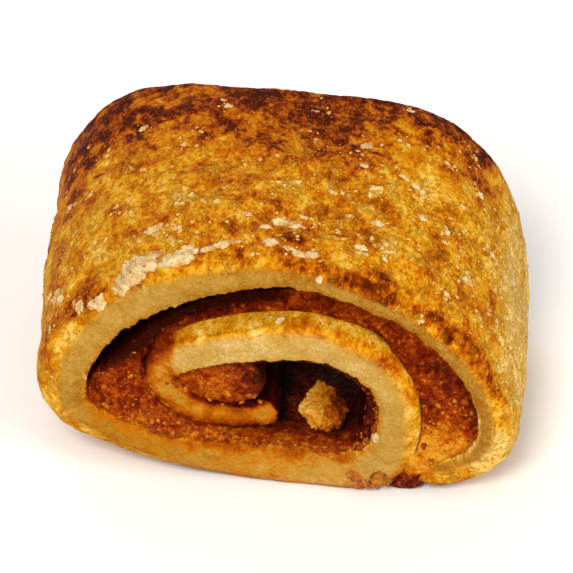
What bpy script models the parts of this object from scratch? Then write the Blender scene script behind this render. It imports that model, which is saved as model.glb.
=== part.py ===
"""A rugelach: a slice of a filled dough log, rolled up, flattened a little and baked.

The dough is one long sheet rolled into a spiral, the filling follows it inside the roll, and a
lump of nut sits in the hollow heart. The roll runs along Y, its front cut face is at -Y, and it
rests on Z = 0. Metres.
"""

import math

import bmesh
import bpy
import numpy as np
from mathutils import Euler, Matrix, Vector, noise

# The roll, seen on its front cut face (X to the right, Z up). The middle of the dough sheet is a
# chain of quarter ellipses through these points, where it lies furthest down, right, up and left,
# from the outer seam at the bottom right to the tongue in the heart.
TURN_POINTS = (
    (0.0092, 0.0017),
    (0.0196, 0.0072),
    (-0.0005, 0.02255),
    (-0.0187, 0.0086),
    (0.0055, 0.0020),
    (0.0113, 0.0094),
    (0.0020, 0.0162),
    (-0.0098, 0.0109),
    (-0.0030, 0.0070),
    (0.0030, 0.0082),
)
CORNER_POWER = (0.84, 1.0, 1.10, 0.82, 0.86, 1.0, 1.0, 1.0, 1.0)  # under 1, that quarter is squarer
QUARTER = 90.0
SEAM_TURN = -70.0
TONGUE_TURN = 662.0

LENGTH = 0.029
BULGE_SCALE = (1.050, 1.040)  # width and height at mid length, against the cut face
TAPER_FRONT = (0.055, 0.045)
TAPER_BACK = (0.020, 0.030)
TAPER_POWER = 3.0
BACK_SHOULDER = 0.135  # how much squarer the top is at the back than at the front
SHOULDER_HEIGHT = 0.0085
BACK_LEFT = 0.07  # how much wider the upper left side grows towards the back
LEFT_RISE = 0.008  # height over the shoulder at which it is fully as wide
CUT_SKEW = 0.065  # the knife's slant: depth gained for each metre across

# Thickness of the baked sheet at these turns, in degrees from the right-hand side of the roll.
DOUGH_TURNS = (-75, -45, -20, 5, 90, 135, 180, 225, 270, 310, 350, 450, 540, 600, 640, 665)
DOUGH_THICKNESS = (0.0027, 0.0036, 0.0034, 0.0027, 0.0026, 0.0040, 0.0041, 0.0037, 0.0048, 0.0047, 0.0039, 0.0034,
                   0.0028, 0.0029, 0.0027, 0.0024)
END_ROUND = 9.0  # turn over which the sheet's two ends round off
END_SHARE = 0.35  # thickness left at the very end
# How far the sheet stands out of the cut face at each turn: the heart of the roll rises in baking.
PROUD_TURNS = (-75, 60, 250, 350, 470, 560, 665)
PROUD_FRONT = (-0.0004, 0.0, -0.0001, 0.0004, 0.0008, -0.0003, -0.0012)
PROUD_BACK = (-0.0005, 0.0002, -0.0003, 0.0006, 0.0003, -0.0010, -0.0018)
DOUGH_EDGE_OUTER = 0.42  # edge rounding, as shares of the sheet's thickness
DOUGH_EDGE_INNER = 0.22

# The filling lies between the turns, from the seam's blob to the inner left-hand turn.
FILLING_START = -42.0
FILLING_END = 512.0
FILLING_TURNS = (-52, -40, -25, 0, 25, 50, 75, 110, 140, 155, 165, 178, 190, 215, 240, 262, 290, 320, 345, 380, 440,
                 480, 515)
FILLING_THICKNESS = (0.0040, 0.0040, 0.0046, 0.0080, 0.0060, 0.0021, 0.0013, 0.0011, 0.0012, 0.0018, 0.0028, 0.0056,
                     0.0080, 0.0046, 0.0024, 0.0012, 0.0009, 0.0009, 0.0008, 0.0006, 0.0006, 0.0010, 0.0012)
AIR_TURNS = (35, 70, 160, 187)  # between these the filling sags off the wrap onto the turn below
FILLING_GAP = 0.00038  # clear of the dough, measured square to its face
FILLING_EDGE = 0.35
# How far the filling stays behind the sheet's cut ends.
RECESS_TURNS = (-50, -30, 0, 60, 130, 170, 200, 250, 300, 515)
RECESS = (0.0006, 0.0014, 0.0012, 0.0024, 0.0027, 0.0014, 0.0009, 0.0013, 0.0014, 0.0016)
# Thick ropes of filling, as centre, radii, front end and back end: one in the pocket between the
# inner turn and the tongue, and two, one over the other, that fill the seam and swell out of it.
ROPES = (
    ((-0.0040, 0.0110), (0.0036, 0.0021), -0.0142, 0.0125),
    ((0.0121, 0.0012), (0.0008, 0.0010), -0.0150, 0.0132),
    ((0.01265, 0.0023), (0.0005, 0.0010), -0.0138, 0.0130),
)

NUT_CENTRE = (0.0042, -0.0120, 0.0077)
NUT_SIZE = (0.0043, 0.0048, 0.0045)
NUT_LUMPS = 0.30

CRUST_RELIEF = 0.00042
CRUST_GRAIN = (0.0085, 0.0036, 0.0050)  # length of the crust's folds round the roll, along it and up
# Soft unevenness of the whole piece: along X, Y and Z it is two crossed waves, each given as the
# axis it runs along, its wave number per metre and its phase.
SOFT_WOBBLE = 0.00020
WOBBLE_WAVES = (
    ((1, 430.0, 0.6), (2, 310.0, 1.1)),
    ((0, 390.0, 2.0), (2, 350.0, 0.0)),
    ((0, 360.0, 0.4), (1, 420.0, 1.3)),
)

# Sugar clumps on the crust, as X, Y and width; most lie along the front edge.
CLUMPS = (
    (-0.0084, -0.0122, 0.0026),
    (-0.0117, -0.0119, 0.0028),
    (-0.0129, -0.0125, 0.0022),
    (-0.0154, -0.0121, 0.0019),
    (-0.0178, -0.0113, 0.0015),
    (-0.0196, -0.0073, 0.0018),
    (0.0028, -0.0124, 0.0022),
    (-0.0007, -0.0112, 0.0015),
    (-0.0049, -0.0111, 0.0018),
    (-0.0029, -0.0073, 0.0012),
    (-0.0114, -0.0078, 0.0015),
    (0.0147, -0.0034, 0.0016),
    (0.0113, 0.0011, 0.0013),
)
CRUMB_SEED = 9
CRUMB_COUNT = 50
CRUMB_SIZE = (0.00055, 0.0010)
CRUMB_SINK = 0.42  # share of a crumb's height that is baked into what it lies on
CRUMB_FLAT = 0.75
CLUMP_FLAT = 0.50
# Crumbs inside the roll: flecks on the inner turn and under the wrap, one on the filling.
INNER_FLECKS = (((0.0006, -0.0138, 0.0171), 0.0009), ((-0.0102, -0.0128, 0.0190), 0.0009))
FILLING_CRUMB = ((0.0080, -0.0132, 0.0066), 0.0013)

DOUGH_STATIONS = 118
FILLING_STATIONS = 92


def eased(turns, knots, values):
    """Values between the knots, along a smooth curve through them."""
    knots = np.asarray(knots, float)
    values = np.asarray(values, float)
    slopes = np.gradient(values, knots)
    i = np.clip(np.searchsorted(knots, turns, side="right") - 1, 0, len(knots) - 2)
    step = knots[i + 1] - knots[i]
    s = np.clip((turns - knots[i]) / step, 0, 1)
    rise = s * s * (3 - 2 * s)
    leave = s * (1 - s) ** 2
    arrive = s * s * (s - 1)
    return values[i] + (values[i + 1] - values[i]) * rise + step * (leave * slopes[i] + arrive * slopes[i + 1])


def sheet_middle(turns):
    """The middle of the dough sheet on the cut face: X and Z at each turn angle.

    Each quarter is part of a superellipse, a plain ellipse where its corner power is 1.
    """
    points = np.array(TURN_POINTS)
    quarters = (np.asarray(turns, float) + QUARTER) / QUARTER
    i = np.clip(np.floor(quarters).astype(int), 0, len(points) - 2)
    swept = (quarters - i) * math.pi / 2
    start, change = points[i], points[i + 1] - points[i]
    power = np.array(CORNER_POWER)[i]
    early, late = np.clip(np.sin(swept), 0, 1) ** power, 1 - np.clip(np.cos(swept), 0, 1) ** power
    level = (i % 2 == 0)[..., None]  # quarters that start level, at the bottom or the top
    return start + change * np.where(level, np.stack([early, late], -1), np.stack([late, early], -1))


def sheet_outward(turns):
    """The unit normal of the sheet, away from the heart of the roll."""
    step = 0.5
    along = sheet_middle(turns + step) - sheet_middle(turns - step)
    outward = np.stack([along[:, 1], -along[:, 0]], -1)
    return outward / np.linalg.norm(outward, axis=1, keepdims=True)


def sheet_face(turns, side):
    """The sheet's outer face (side 1) or inner face (side -1) on the cut face."""
    thickness = eased(turns, DOUGH_TURNS, DOUGH_THICKNESS)
    return sheet_middle(turns) + sheet_outward(turns) * (side * thickness / 2)[:, None]


def even_turns(first, last, count):
    """Turn angles between two ends, closer together where the roll bends tightly."""
    fine = np.linspace(first, last, 2000)
    steps = np.linalg.norm(np.diff(sheet_middle(fine), axis=0), axis=1)
    travelled = np.concatenate([[0], np.cumsum(steps)])
    share = travelled / travelled[-1] * 0.6 + np.linspace(0, 1, len(fine)) * 0.4
    return np.interp(np.linspace(0, 1, count), share, fine)


def sheet_turns():
    """Turn angles of the dough's stations, with extra ones where its two ends round off."""
    first_end = SEAM_TURN + END_ROUND * np.array([0.0, 0.25, 0.6])
    last_end = TONGUE_TURN - END_ROUND * np.array([0.6, 0.25, 0.0])
    middle = even_turns(SEAM_TURN + END_ROUND, TONGUE_TURN - END_ROUND, DOUGH_STATIONS - 6)
    return np.concatenate([first_end, middle, last_end])


def rounded_ends(turns):
    """Share of the sheet's thickness that is left near its two ends."""
    inwards = np.minimum(turns - SEAM_TURN, TONGUE_TURN - turns) / END_ROUND
    return END_SHARE + (1 - END_SHARE) * np.sqrt(1 - (1 - np.clip(inwards, 0, 1)) ** 2)


def slab_edge(outer_steps, inner_steps, corner_steps):
    """Once round a slab's long cross-section, as rows of (end, side, arc along, arc out).

    A point lies at end * (half length - r) + arc along * r and side * (half thickness - r) + arc
    out * r, where r is that side's edge radius. It runs over the outer face from front to back and
    returns over the inner face.
    """
    rows = []
    for corner, (end, side) in enumerate(((-1, 1), (1, 1), (1, -1), (-1, -1))):
        start = math.pi - corner * math.pi / 2
        for k in range(corner_steps + 1):
            angle = start - k / corner_steps * math.pi / 2
            rows.append((end, side, math.cos(angle), math.sin(angle)))
        if corner in (0, 2):
            steps = outer_steps if corner == 0 else inner_steps
            for k in range(1, steps):
                rows.append((end * (1 - 2 * k / steps), side, 0.0, float(side)))
    return np.array(rows)


def ends_at(turns, extra):
    """Front and back ends of the sheet along Y at each turn, each taken in by extra."""
    front = -LENGTH / 2 - eased(turns, PROUD_TURNS, PROUD_FRONT) + extra
    back = LENGTH / 2 + eased(turns, PROUD_TURNS, PROUD_BACK) - extra
    return front, back


def slab_points(inner, direction, thickness, ends, edge, radii):
    """Wraps a slab's edge round each station: points as (station, edge point, XYZ).

    inner is the slab's inner face on the cut face, direction points from it across the slab, and
    radii are the edge radii of the outer and the inner side at each station.
    """
    front, back = (values[:, None] for values in ends)
    end, side, arc_along, arc_out = (column[None, :] for column in edge.T)
    radius = np.where(side > 0, radii[0][:, None], radii[1][:, None])
    y = (front + back) / 2 + end * ((back - front) / 2 - radius) + arc_along * radius
    half = thickness[:, None] / 2
    across = half + side * (half - radius) + arc_out * radius
    x = inner[:, :1] + direction[:, :1] * across
    z = inner[:, 1:] + direction[:, 1:] * across
    return np.stack(np.broadcast_arrays(x, y, z), -1)


def baked(points):
    """Gives the straight roll its baked form: bulging middle, squarer back, slanted cut, soft unevenness."""
    x, y, z = points[..., 0], points[..., 1], points[..., 2]
    along = np.clip(2 * y / LENGTH, -1.2, 1.2)
    end = np.abs(along) ** TAPER_POWER
    front = along < 0
    wide = BULGE_SCALE[0] * (1 - end * np.where(front, TAPER_FRONT[0], TAPER_BACK[0]))
    tall = BULGE_SCALE[1] * (1 - end * np.where(front, TAPER_FRONT[1], TAPER_BACK[1]))
    above = np.maximum(z - SHOULDER_HEIGHT, 0)
    diagonal = (2 * x * above / np.maximum(x * x + above * above, 1e-9)) ** 2
    squarer = 1 + BACK_SHOULDER * np.clip((along + 1) / 2, 0, 1) * diagonal
    z = np.where(z > SHOULDER_HEIGHT, SHOULDER_HEIGHT + above * squarer, z)
    left = 1 + BACK_LEFT * np.clip((along + 1) / 2, 0, 1) * np.clip(above / LEFT_RISE, 0, 1) * (x < 0)
    moved = np.stack([x * wide * squarer * left, y - CUT_SKEW * x, z * tall], -1)
    crossed = [[np.sin(moved[..., axis] * per_metre + phase) for axis, per_metre, phase in waves]
               for waves in WOBBLE_WAVES]
    wobble = np.stack([one * other for one, other in crossed], -1)
    lifted = np.clip(moved[..., 2:] / 0.004, 0, 1)
    return moved + wobble * SOFT_WOBBLE * lifted


def crust_height(point):
    """Height of the crust's blisters and flaky folds at a point of the outer wrap."""
    drawn_out = Vector([point[k] / CRUST_GRAIN[k] for k in range(3)])
    folds = noise.fractal(drawn_out, 0.8, 2.2, 3)
    lift = min(max(point[2] / 0.003, 0.0), 1.0)
    return CRUST_RELIEF * folds * lift


def mesh_object(name, collection, material, stations, edge_count, place):
    """A closed skin: a flat grid, rolled so that its columns meet, with its two ends filled.

    place gives the array of points, one row for each station and one column for each edge point.
    """
    bm = bmesh.new()
    bmesh.ops.create_grid(bm, x_segments=stations - 1, y_segments=edge_count, size=0.5)
    for vert in bm.verts:
        station = round((vert.co.x + 0.5) * (stations - 1))
        column = round((vert.co.y + 0.5) * edge_count) % edge_count
        vert.co = place[station, column]
    bmesh.ops.remove_doubles(bm, verts=bm.verts, dist=1e-7)
    bmesh.ops.holes_fill(bm, edges=[edge for edge in bm.edges if edge.is_boundary])
    bmesh.ops.triangulate(bm, faces=[face for face in bm.faces if len(face.verts) > 4])
    bmesh.ops.recalc_face_normals(bm, faces=bm.faces)
    return object_from(bm, name, collection, material)


def object_from(bm, name, collection, material):
    """Puts a bmesh in the scene as a smooth-shaded object."""
    mesh = bpy.data.meshes.new(name)
    bm.to_mesh(mesh)
    bm.free()
    mesh.shade_smooth()
    mesh.materials.append(material)
    obj = bpy.data.objects.new(name, mesh)
    collection.objects.link(obj)
    return obj


def lump(bm, centre, size, turned, subdivisions, roughness):
    """Adds an uneven round lump of that size to a bmesh."""
    made = bmesh.ops.create_icosphere(bm, subdivisions=subdivisions, radius=0.5)
    place = Matrix.Translation(centre) @ turned.to_matrix().to_4x4() @ Matrix.Diagonal((*size, 1.0))
    for vert in made["verts"]:
        swell = 1 + roughness * noise.noise(vert.co * 4.5 + Vector(centre) * 900)
        vert.co = place @ (vert.co * swell)


def dough_points():
    """The rolled sheet's skin, with its crust."""
    turns = sheet_turns()
    thickness = eased(turns, DOUGH_TURNS, DOUGH_THICKNESS) * rounded_ends(turns)
    edge = slab_edge(outer_steps=13, inner_steps=6, corner_steps=2)
    radii = (thickness * DOUGH_EDGE_OUTER, thickness * DOUGH_EDGE_INNER)
    outward = sheet_outward(turns)
    inner = sheet_middle(turns) - outward * thickness[:, None] / 2
    points = baked(slab_points(inner, outward, thickness, ends_at(turns, 0.0), edge, radii))
    crusty = turns < 285
    for station in np.flatnonzero(crusty):
        out = Vector((outward[station, 0], 0, outward[station, 1]))
        for column in np.flatnonzero(edge[:, 1] > 0):
            point = Vector(points[station, column])
            points[station, column] = point + out * crust_height(point)
    points[..., 2] = np.maximum(points[..., 2], 0.0)
    return points, len(edge)


def filling_points():
    """The filling's skin between the turns, with room for air under the top of the wrap."""
    turns = even_turns(FILLING_START, FILLING_END, FILLING_STATIONS)
    under_wrap = sheet_face(turns, -1)
    next_turns = np.minimum(turns + 4 * QUARTER, TONGUE_TURN)
    spoke = sheet_face(next_turns, 1) - under_wrap
    room = np.linalg.norm(spoke, axis=1)
    spoke = spoke / room[:, None]
    square = [np.abs(np.sum(spoke * sheet_outward(at), axis=1)) for at in (turns, next_turns)]
    near_gap, far_gap = (FILLING_GAP / np.clip(share, 0.2, 1) for share in square)
    clear = room - near_gap - far_gap
    thickness = np.minimum(eased(turns, FILLING_TURNS, FILLING_THICKNESS), clear)
    rise = eased(turns, AIR_TURNS[:2], (0, 1)) - eased(turns, AIR_TURNS[2:], (0, 1))
    sag = np.clip(rise, 0, 1)
    inner = under_wrap + spoke * (near_gap + sag * (clear - thickness) + thickness)[:, None]
    edge = slab_edge(outer_steps=5, inner_steps=5, corner_steps=1)
    radius = np.minimum(thickness * FILLING_EDGE, 0.0009)
    ends = ends_at(turns, eased(turns, RECESS_TURNS, RECESS))
    points = baked(slab_points(inner, -spoke, thickness, ends, edge, (radius, radius)))
    return points, len(edge)


def rope_points(centre, radii, front, back):
    """A rope of filling along the roll: an oval that grows slimmer towards its two ends."""
    around, stations = 12, 8
    angles = np.arange(around) / around * 2 * math.pi
    share = np.linspace(-1, 1, stations)
    slim = 1 - 0.35 * np.abs(share) ** 6
    x = centre[0] + radii[0] * np.cos(angles)[None, :] * slim[:, None]
    z = centre[1] + radii[1] * np.sin(angles)[None, :] * slim[:, None]
    depth = (front + back) / 2 + share * (back - front) / 2
    return baked(np.stack([x, np.broadcast_to(depth[:, None], x.shape), z], -1)), around


def beside(crust, station, column):
    """A point of the crust, its steps round and along the roll, and the way out of the crust."""
    here = Vector(crust[station, column])
    round_roll = Vector(crust[station + 1, column]) - here
    along_roll = Vector(crust[station, column + 1]) - here
    out = along_roll.cross(round_roll).normalized()
    if out.dot(here - Vector((0, here.y, 0.010))) < 0:
        out = -out
    return here, round_roll, along_roll, out


def rest_lump(bm, here, out, size, flat, subdivisions):
    """Sets a flattened lump on a surface, sunk a little into it."""
    height = size[1] * flat
    turned = out.to_track_quat("Z", "Y").to_euler()
    centre = here + out * height * (0.5 - CRUMB_SINK)
    lump(bm, centre, (*size, height), turned, subdivisions, 0.4)


def scatter_toppings(crust, collection, material):
    """The sugar clumps in their places, and small crumbs strewn between them."""
    draws = np.random.RandomState(CRUMB_SEED)
    turns = sheet_turns()
    upper = np.flatnonzero((turns > 2) & (turns < 178))
    strewn = np.flatnonzero((turns > -12) & (turns < 205))
    bm = bmesh.new()
    placed = []
    for x, y, width in CLUMPS:
        reach = np.hypot(crust[upper, 3:14, 0] - x, crust[upper, 3:14, 1] - y)
        nearest, column = np.unravel_index(reach.argmin(), reach.shape)
        here, _, _, out = beside(crust, upper[nearest], column + 3)
        offset = Vector((x - here.x, y - here.y, 0))
        here += offset - out * offset.dot(out)
        placed.append((here, width))
        rest_lump(bm, here, out, (width * draws.uniform(0.9, 1.3), width), CLUMP_FLAT, 2)
    for _ in range(CRUMB_COUNT):
        here, round_roll, along_roll, out = beside(crust, draws.choice(strewn), draws.randint(3, 14))
        here += round_roll * draws.uniform(0, 1) + along_roll * draws.uniform(0, 1)
        width = draws.uniform(*CRUMB_SIZE)
        long = width * draws.uniform(1.0, 1.5)
        if any((here - other).length < long + reach for other, reach in placed):
            continue
        placed.append((here, long))
        rest_lump(bm, here, out, (long, width), CRUMB_FLAT, 1)
    for place, width in INNER_FLECKS:
        lump(bm, place, (width, width, width), Euler((0.4, 0.2, 0.9)), 1, 0.4)
    return object_from(bm, "toppings", collection, material)


def join(whole, pieces):
    """Unites the pieces' collection with an object and removes it."""
    union = whole.modifiers.new("join", "BOOLEAN")
    union.operation = "UNION"
    union.operand_type = "COLLECTION"
    union.collection = pieces
    union.solver = "MANIFOLD"
    graph = bpy.context.evaluated_depsgraph_get()
    joined = bpy.data.meshes.new_from_object(whole.evaluated_get(graph))
    whole.modifiers.remove(union)
    whole.data = joined
    for piece in list(pieces.objects):
        bpy.data.objects.remove(piece)
    bpy.data.collections.remove(pieces)


def collection_named(name):
    """A new collection in the scene."""
    made = bpy.data.collections.new(name)
    bpy.context.scene.collection.children.link(made)
    return made


def baked_material(name, colour, roughness):
    """A plain Principled material in the piece's own colour."""
    material = bpy.data.materials.new(name)
    material.use_nodes = True
    shader = material.node_tree.nodes["Principled BSDF"]
    shader.inputs["Base Color"].default_value = (*colour, 1.0)
    shader.inputs["Roughness"].default_value = roughness
    return material


def settle(objects):
    """Moves the whole piece so that its box stands centred on the origin."""
    corners = np.array([vert.co for obj in objects for vert in obj.data.vertices])
    low, high = corners.min(axis=0), corners.max(axis=0)
    shift = Matrix.Translation((-(low[0] + high[0]) / 2, -(low[1] + high[1]) / 2, -low[2]))
    for obj in objects:
        obj.data.transform(shift)


def make_rugelach():
    """Builds the dough, the filling and the nut."""
    for obj in list(bpy.data.objects):
        bpy.data.objects.remove(obj)
    rugelach = collection_named("rugelach")
    crust_gold = baked_material("crust_gold", (0.56, 0.24, 0.03), 0.6)
    filling_brown = baked_material("filling_brown", (0.24, 0.06, 0.006), 0.4)
    nut_tan = baked_material("nut_tan", (0.42, 0.22, 0.05), 0.7)

    crust, crust_columns = dough_points()
    dough = mesh_object("dough", rugelach, crust_gold, DOUGH_STATIONS, crust_columns, crust)
    toppings = collection_named("toppings")
    scatter_toppings(crust, toppings, crust_gold)
    join(dough, toppings)

    spread, spread_columns = filling_points()
    filling = mesh_object("filling", rugelach, filling_brown, FILLING_STATIONS, spread_columns, spread)
    ropes = collection_named("ropes")
    for rope in ROPES:
        strand, strand_columns = rope_points(*rope)
        mesh_object("rope", ropes, filling_brown, len(strand), strand_columns, strand)
    bm = bmesh.new()
    place, width = FILLING_CRUMB
    lump(bm, place, (width, width, width), Euler((0.2, 0.7, 0.3)), 1, 0.4)
    object_from(bm, "crumb", ropes, filling_brown)
    join(filling, ropes)

    bm = bmesh.new()
    lump(bm, NUT_CENTRE, NUT_SIZE, Euler((0.3, 0.5, 0.4)), 3, NUT_LUMPS)
    nut = object_from(bm, "nut", rugelach, nut_tan)
    settle((dough, filling, nut))


make_rugelach()
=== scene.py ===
"""The looks of a rugelach: a baked slice of a filled dough log, rolled up and strewn with sugar.

The baked roll is drawn first as a plain spiral and then bent by one smooth warp, so that dough and
filling keep their fit. Every surface is a grid of points worked out with numpy from two parameters.
Lengths are in metres and turns in degrees, except where a name ends in _mm.
"""

import logging
import math
from dataclasses import dataclass, field
from enum import Enum
from functools import reduce
from itertools import combinations
from typing import Callable

import bpy
import numpy as np
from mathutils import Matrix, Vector


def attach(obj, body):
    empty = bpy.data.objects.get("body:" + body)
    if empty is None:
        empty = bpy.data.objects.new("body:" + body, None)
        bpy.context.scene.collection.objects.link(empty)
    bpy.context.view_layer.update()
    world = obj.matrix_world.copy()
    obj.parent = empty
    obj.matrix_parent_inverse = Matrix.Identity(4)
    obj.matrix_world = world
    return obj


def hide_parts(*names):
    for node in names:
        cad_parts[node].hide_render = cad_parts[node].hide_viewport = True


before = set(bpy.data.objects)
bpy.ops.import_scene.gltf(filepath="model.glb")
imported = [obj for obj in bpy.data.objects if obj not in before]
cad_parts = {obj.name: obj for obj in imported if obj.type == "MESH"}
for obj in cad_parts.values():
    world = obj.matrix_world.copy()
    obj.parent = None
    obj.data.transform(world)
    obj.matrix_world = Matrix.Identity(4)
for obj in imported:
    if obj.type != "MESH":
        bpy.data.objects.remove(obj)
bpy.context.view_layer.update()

BODY = "root"
MM = 0.001

log = logging.getLogger("rugelach")

Array = np.ndarray
Colour = tuple[float, float, float]
Socket = bpy.types.NodeSocket
Material = bpy.types.Material
Piece = bpy.types.Object
Value = Socket | Colour | float


# Small sums


def linear(red: int, green: int, blue: int) -> Colour:
    """A screen colour as the linear values that shaders take, by the sRGB curve.

    Args:
        red, green, blue: the channels, 0 to 255.

    Returns:
        The linear channels, 0 to 1.
    """
    channels = np.array([red, green, blue]) / 255
    low, high = channels / 12.92, ((channels + 0.055) / 1.055) ** 2.4
    return tuple(float(value) for value in np.where(channels <= 0.04045, low, high))


def smooth_step(low: float, high: float, values: Array) -> Array:
    """Rises from 0 at low to 1 at high along the cubic 3t^2 - 2t^3."""
    share = np.clip((values - low) / (high - low), 0, 1)
    return share * share * (3 - 2 * share)


def hump(middle: float, reach: float, values: Array) -> Array:
    """A bell, 1 at its middle, falling as exp(-((v - middle) / reach)^2)."""
    return np.exp(-(((values - middle) / reach) ** 2))


def behind(y: Array, front: Array | float, back: Array | float) -> Array:
    """Distance behind the nearer of two ends."""
    return np.minimum(y - front, back - y)


def ring(count: int) -> Array:
    """Angles once round, in radians, as one row."""
    return np.arange(count)[None, :] / count * 2 * math.pi


def eased(turns: Array, knots: tuple, values: tuple) -> Array:
    """Values between the knots, along a smooth curve through them.

    Between two knots the curve is the cubic that meets both values with the slopes that central
    differences give.

    Args:
        turns: where the values are wanted.
        knots: where they are given, in rising order.
        values: what they are there.

    Returns:
        One value for each entry of turns.
    """
    knots = np.asarray(knots, float)
    values = np.asarray(values, float)
    slopes = np.gradient(values, knots)
    i = np.clip(np.searchsorted(knots, turns, side="right") - 1, 0, len(knots) - 2)
    step = knots[i + 1] - knots[i]
    s = np.clip((turns - knots[i]) / step, 0, 1)
    rise = s * s * (3 - 2 * s)
    leave = s * (1 - s) ** 2
    arrive = s * s * (s - 1)
    bend = step * (leave * slopes[i] + arrive * slopes[i + 1])
    return values[i] + (values[i + 1] - values[i]) * rise + bend


class Grain:
    """Seeded gradient noise over whole arrays of points, about -1 to 1, one lump to a unit.

    Attributes:
        octave_step: how much finer each octave is than the one before.
        order: a shuffled table of 256 entries, twice over.
        slopes: a unit gradient for each entry.
        offsets: how far a cell's scattered seed lies off its middle, for each entry.
    """

    octave_step: float = 2.03

    def __init__(self, seed: int) -> None:
        """Draws the shuffled table, the gradients and the offsets.

        Args:
            seed: which noise it is.
        """
        draws = np.random.RandomState(seed)
        self.order = np.tile(draws.permutation(256), 2)
        slopes = draws.normal(size=(256, 3))
        self.slopes = slopes / np.linalg.norm(slopes, axis=1, keepdims=True)
        self.offsets = draws.uniform(-0.5, 0.5, (256, 3))

    def pick(self, x: Array, y: Array, z: Array) -> Array:
        """The table's entry for each cell of the lattice."""
        return self.order[self.order[self.order[x & 255] + (y & 255)] + (z & 255)]

    def soft(self, points: Array) -> Array:
        """Gradient noise: the eight corner slopes of each cell, blended by 6t^5 - 15t^4 + 10t^3.

        Args:
            points: coordinates, with X, Y and Z on the last axis.

        Returns:
            One value for each point.
        """
        cell = np.floor(points).astype(int)
        part = points - cell
        fade = part**3 * (part * (part * 6 - 15) + 10)
        total = np.zeros(points.shape[:-1])
        for corner in np.ndindex(2, 2, 2):
            slope = self.slopes[self.pick(*(cell[..., k] + corner[k] for k in range(3)))]
            reach = np.sum(slope * (part - corner), axis=-1)
            weight = np.prod(np.where(corner, fade, 1 - fade), axis=-1)
            total += reach * weight
        return total * 1.5

    def summed(self, points: Array, octaves: int, gain: float, shift: float, shaped: Callable) -> Array:
        """The mean of the octaves of soft noise, weighted by their strength.

        Args:
            points: coordinates, with X, Y and Z on the last axis.
            octaves: how many there are.
            gain: how strong each one is beside the one before.
            shift: how far each one is set off from the one before.
            shaped: what is made of the soft noise before it is summed.

        Returns:
            One value for each point.
        """
        total = np.zeros(points.shape[:-1])
        strength, norm = 1.0, 0.0
        for octave in range(octaves):
            total += strength * shaped(self.soft(points * self.octave_step**octave + shift * octave))
            norm += strength
            strength *= gain
        return total / norm

    def layered(self, points: Array, octaves: int, gain: float = 0.5) -> Array:
        """Soft noise over several octaves."""
        return self.summed(points, octaves, gain, 17.3, lambda soft: soft)

    def ridged(self, points: Array, octaves: int, gain: float = 0.5) -> Array:
        """Sharp crests, 0 to 1: one less the size of soft noise, over several octaves."""
        return self.summed(points, octaves, gain, 31.7, lambda soft: 1 - np.abs(soft) * 1.7)

    def nearest(self, points: Array) -> tuple[Array, Array]:
        """Cells of scattered seeds: each lattice cell holds one seed, set off its middle.

        Args:
            points: coordinates, with X, Y and Z on the last axis.

        Returns:
            The distance to the nearest seed, and a value from 0 to 1 that names its cell.
        """
        cell = np.floor(points).astype(int)
        best = np.full(points.shape[:-1], 9.0)
        name = np.zeros(points.shape[:-1], int)
        for step in np.ndindex(3, 3, 3):
            there = [cell[..., k] + step[k] - 1 for k in range(3)]
            index = self.pick(*there)
            seeds = np.stack(there, -1) + 0.5 + self.offsets[index] * 0.9
            reach = np.linalg.norm(points - seeds, axis=-1)
            nearer = reach < best
            best = np.where(nearer, reach, best)
            name = np.where(nearer, index, name)
        return best, name / 255


# Meshes


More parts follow.
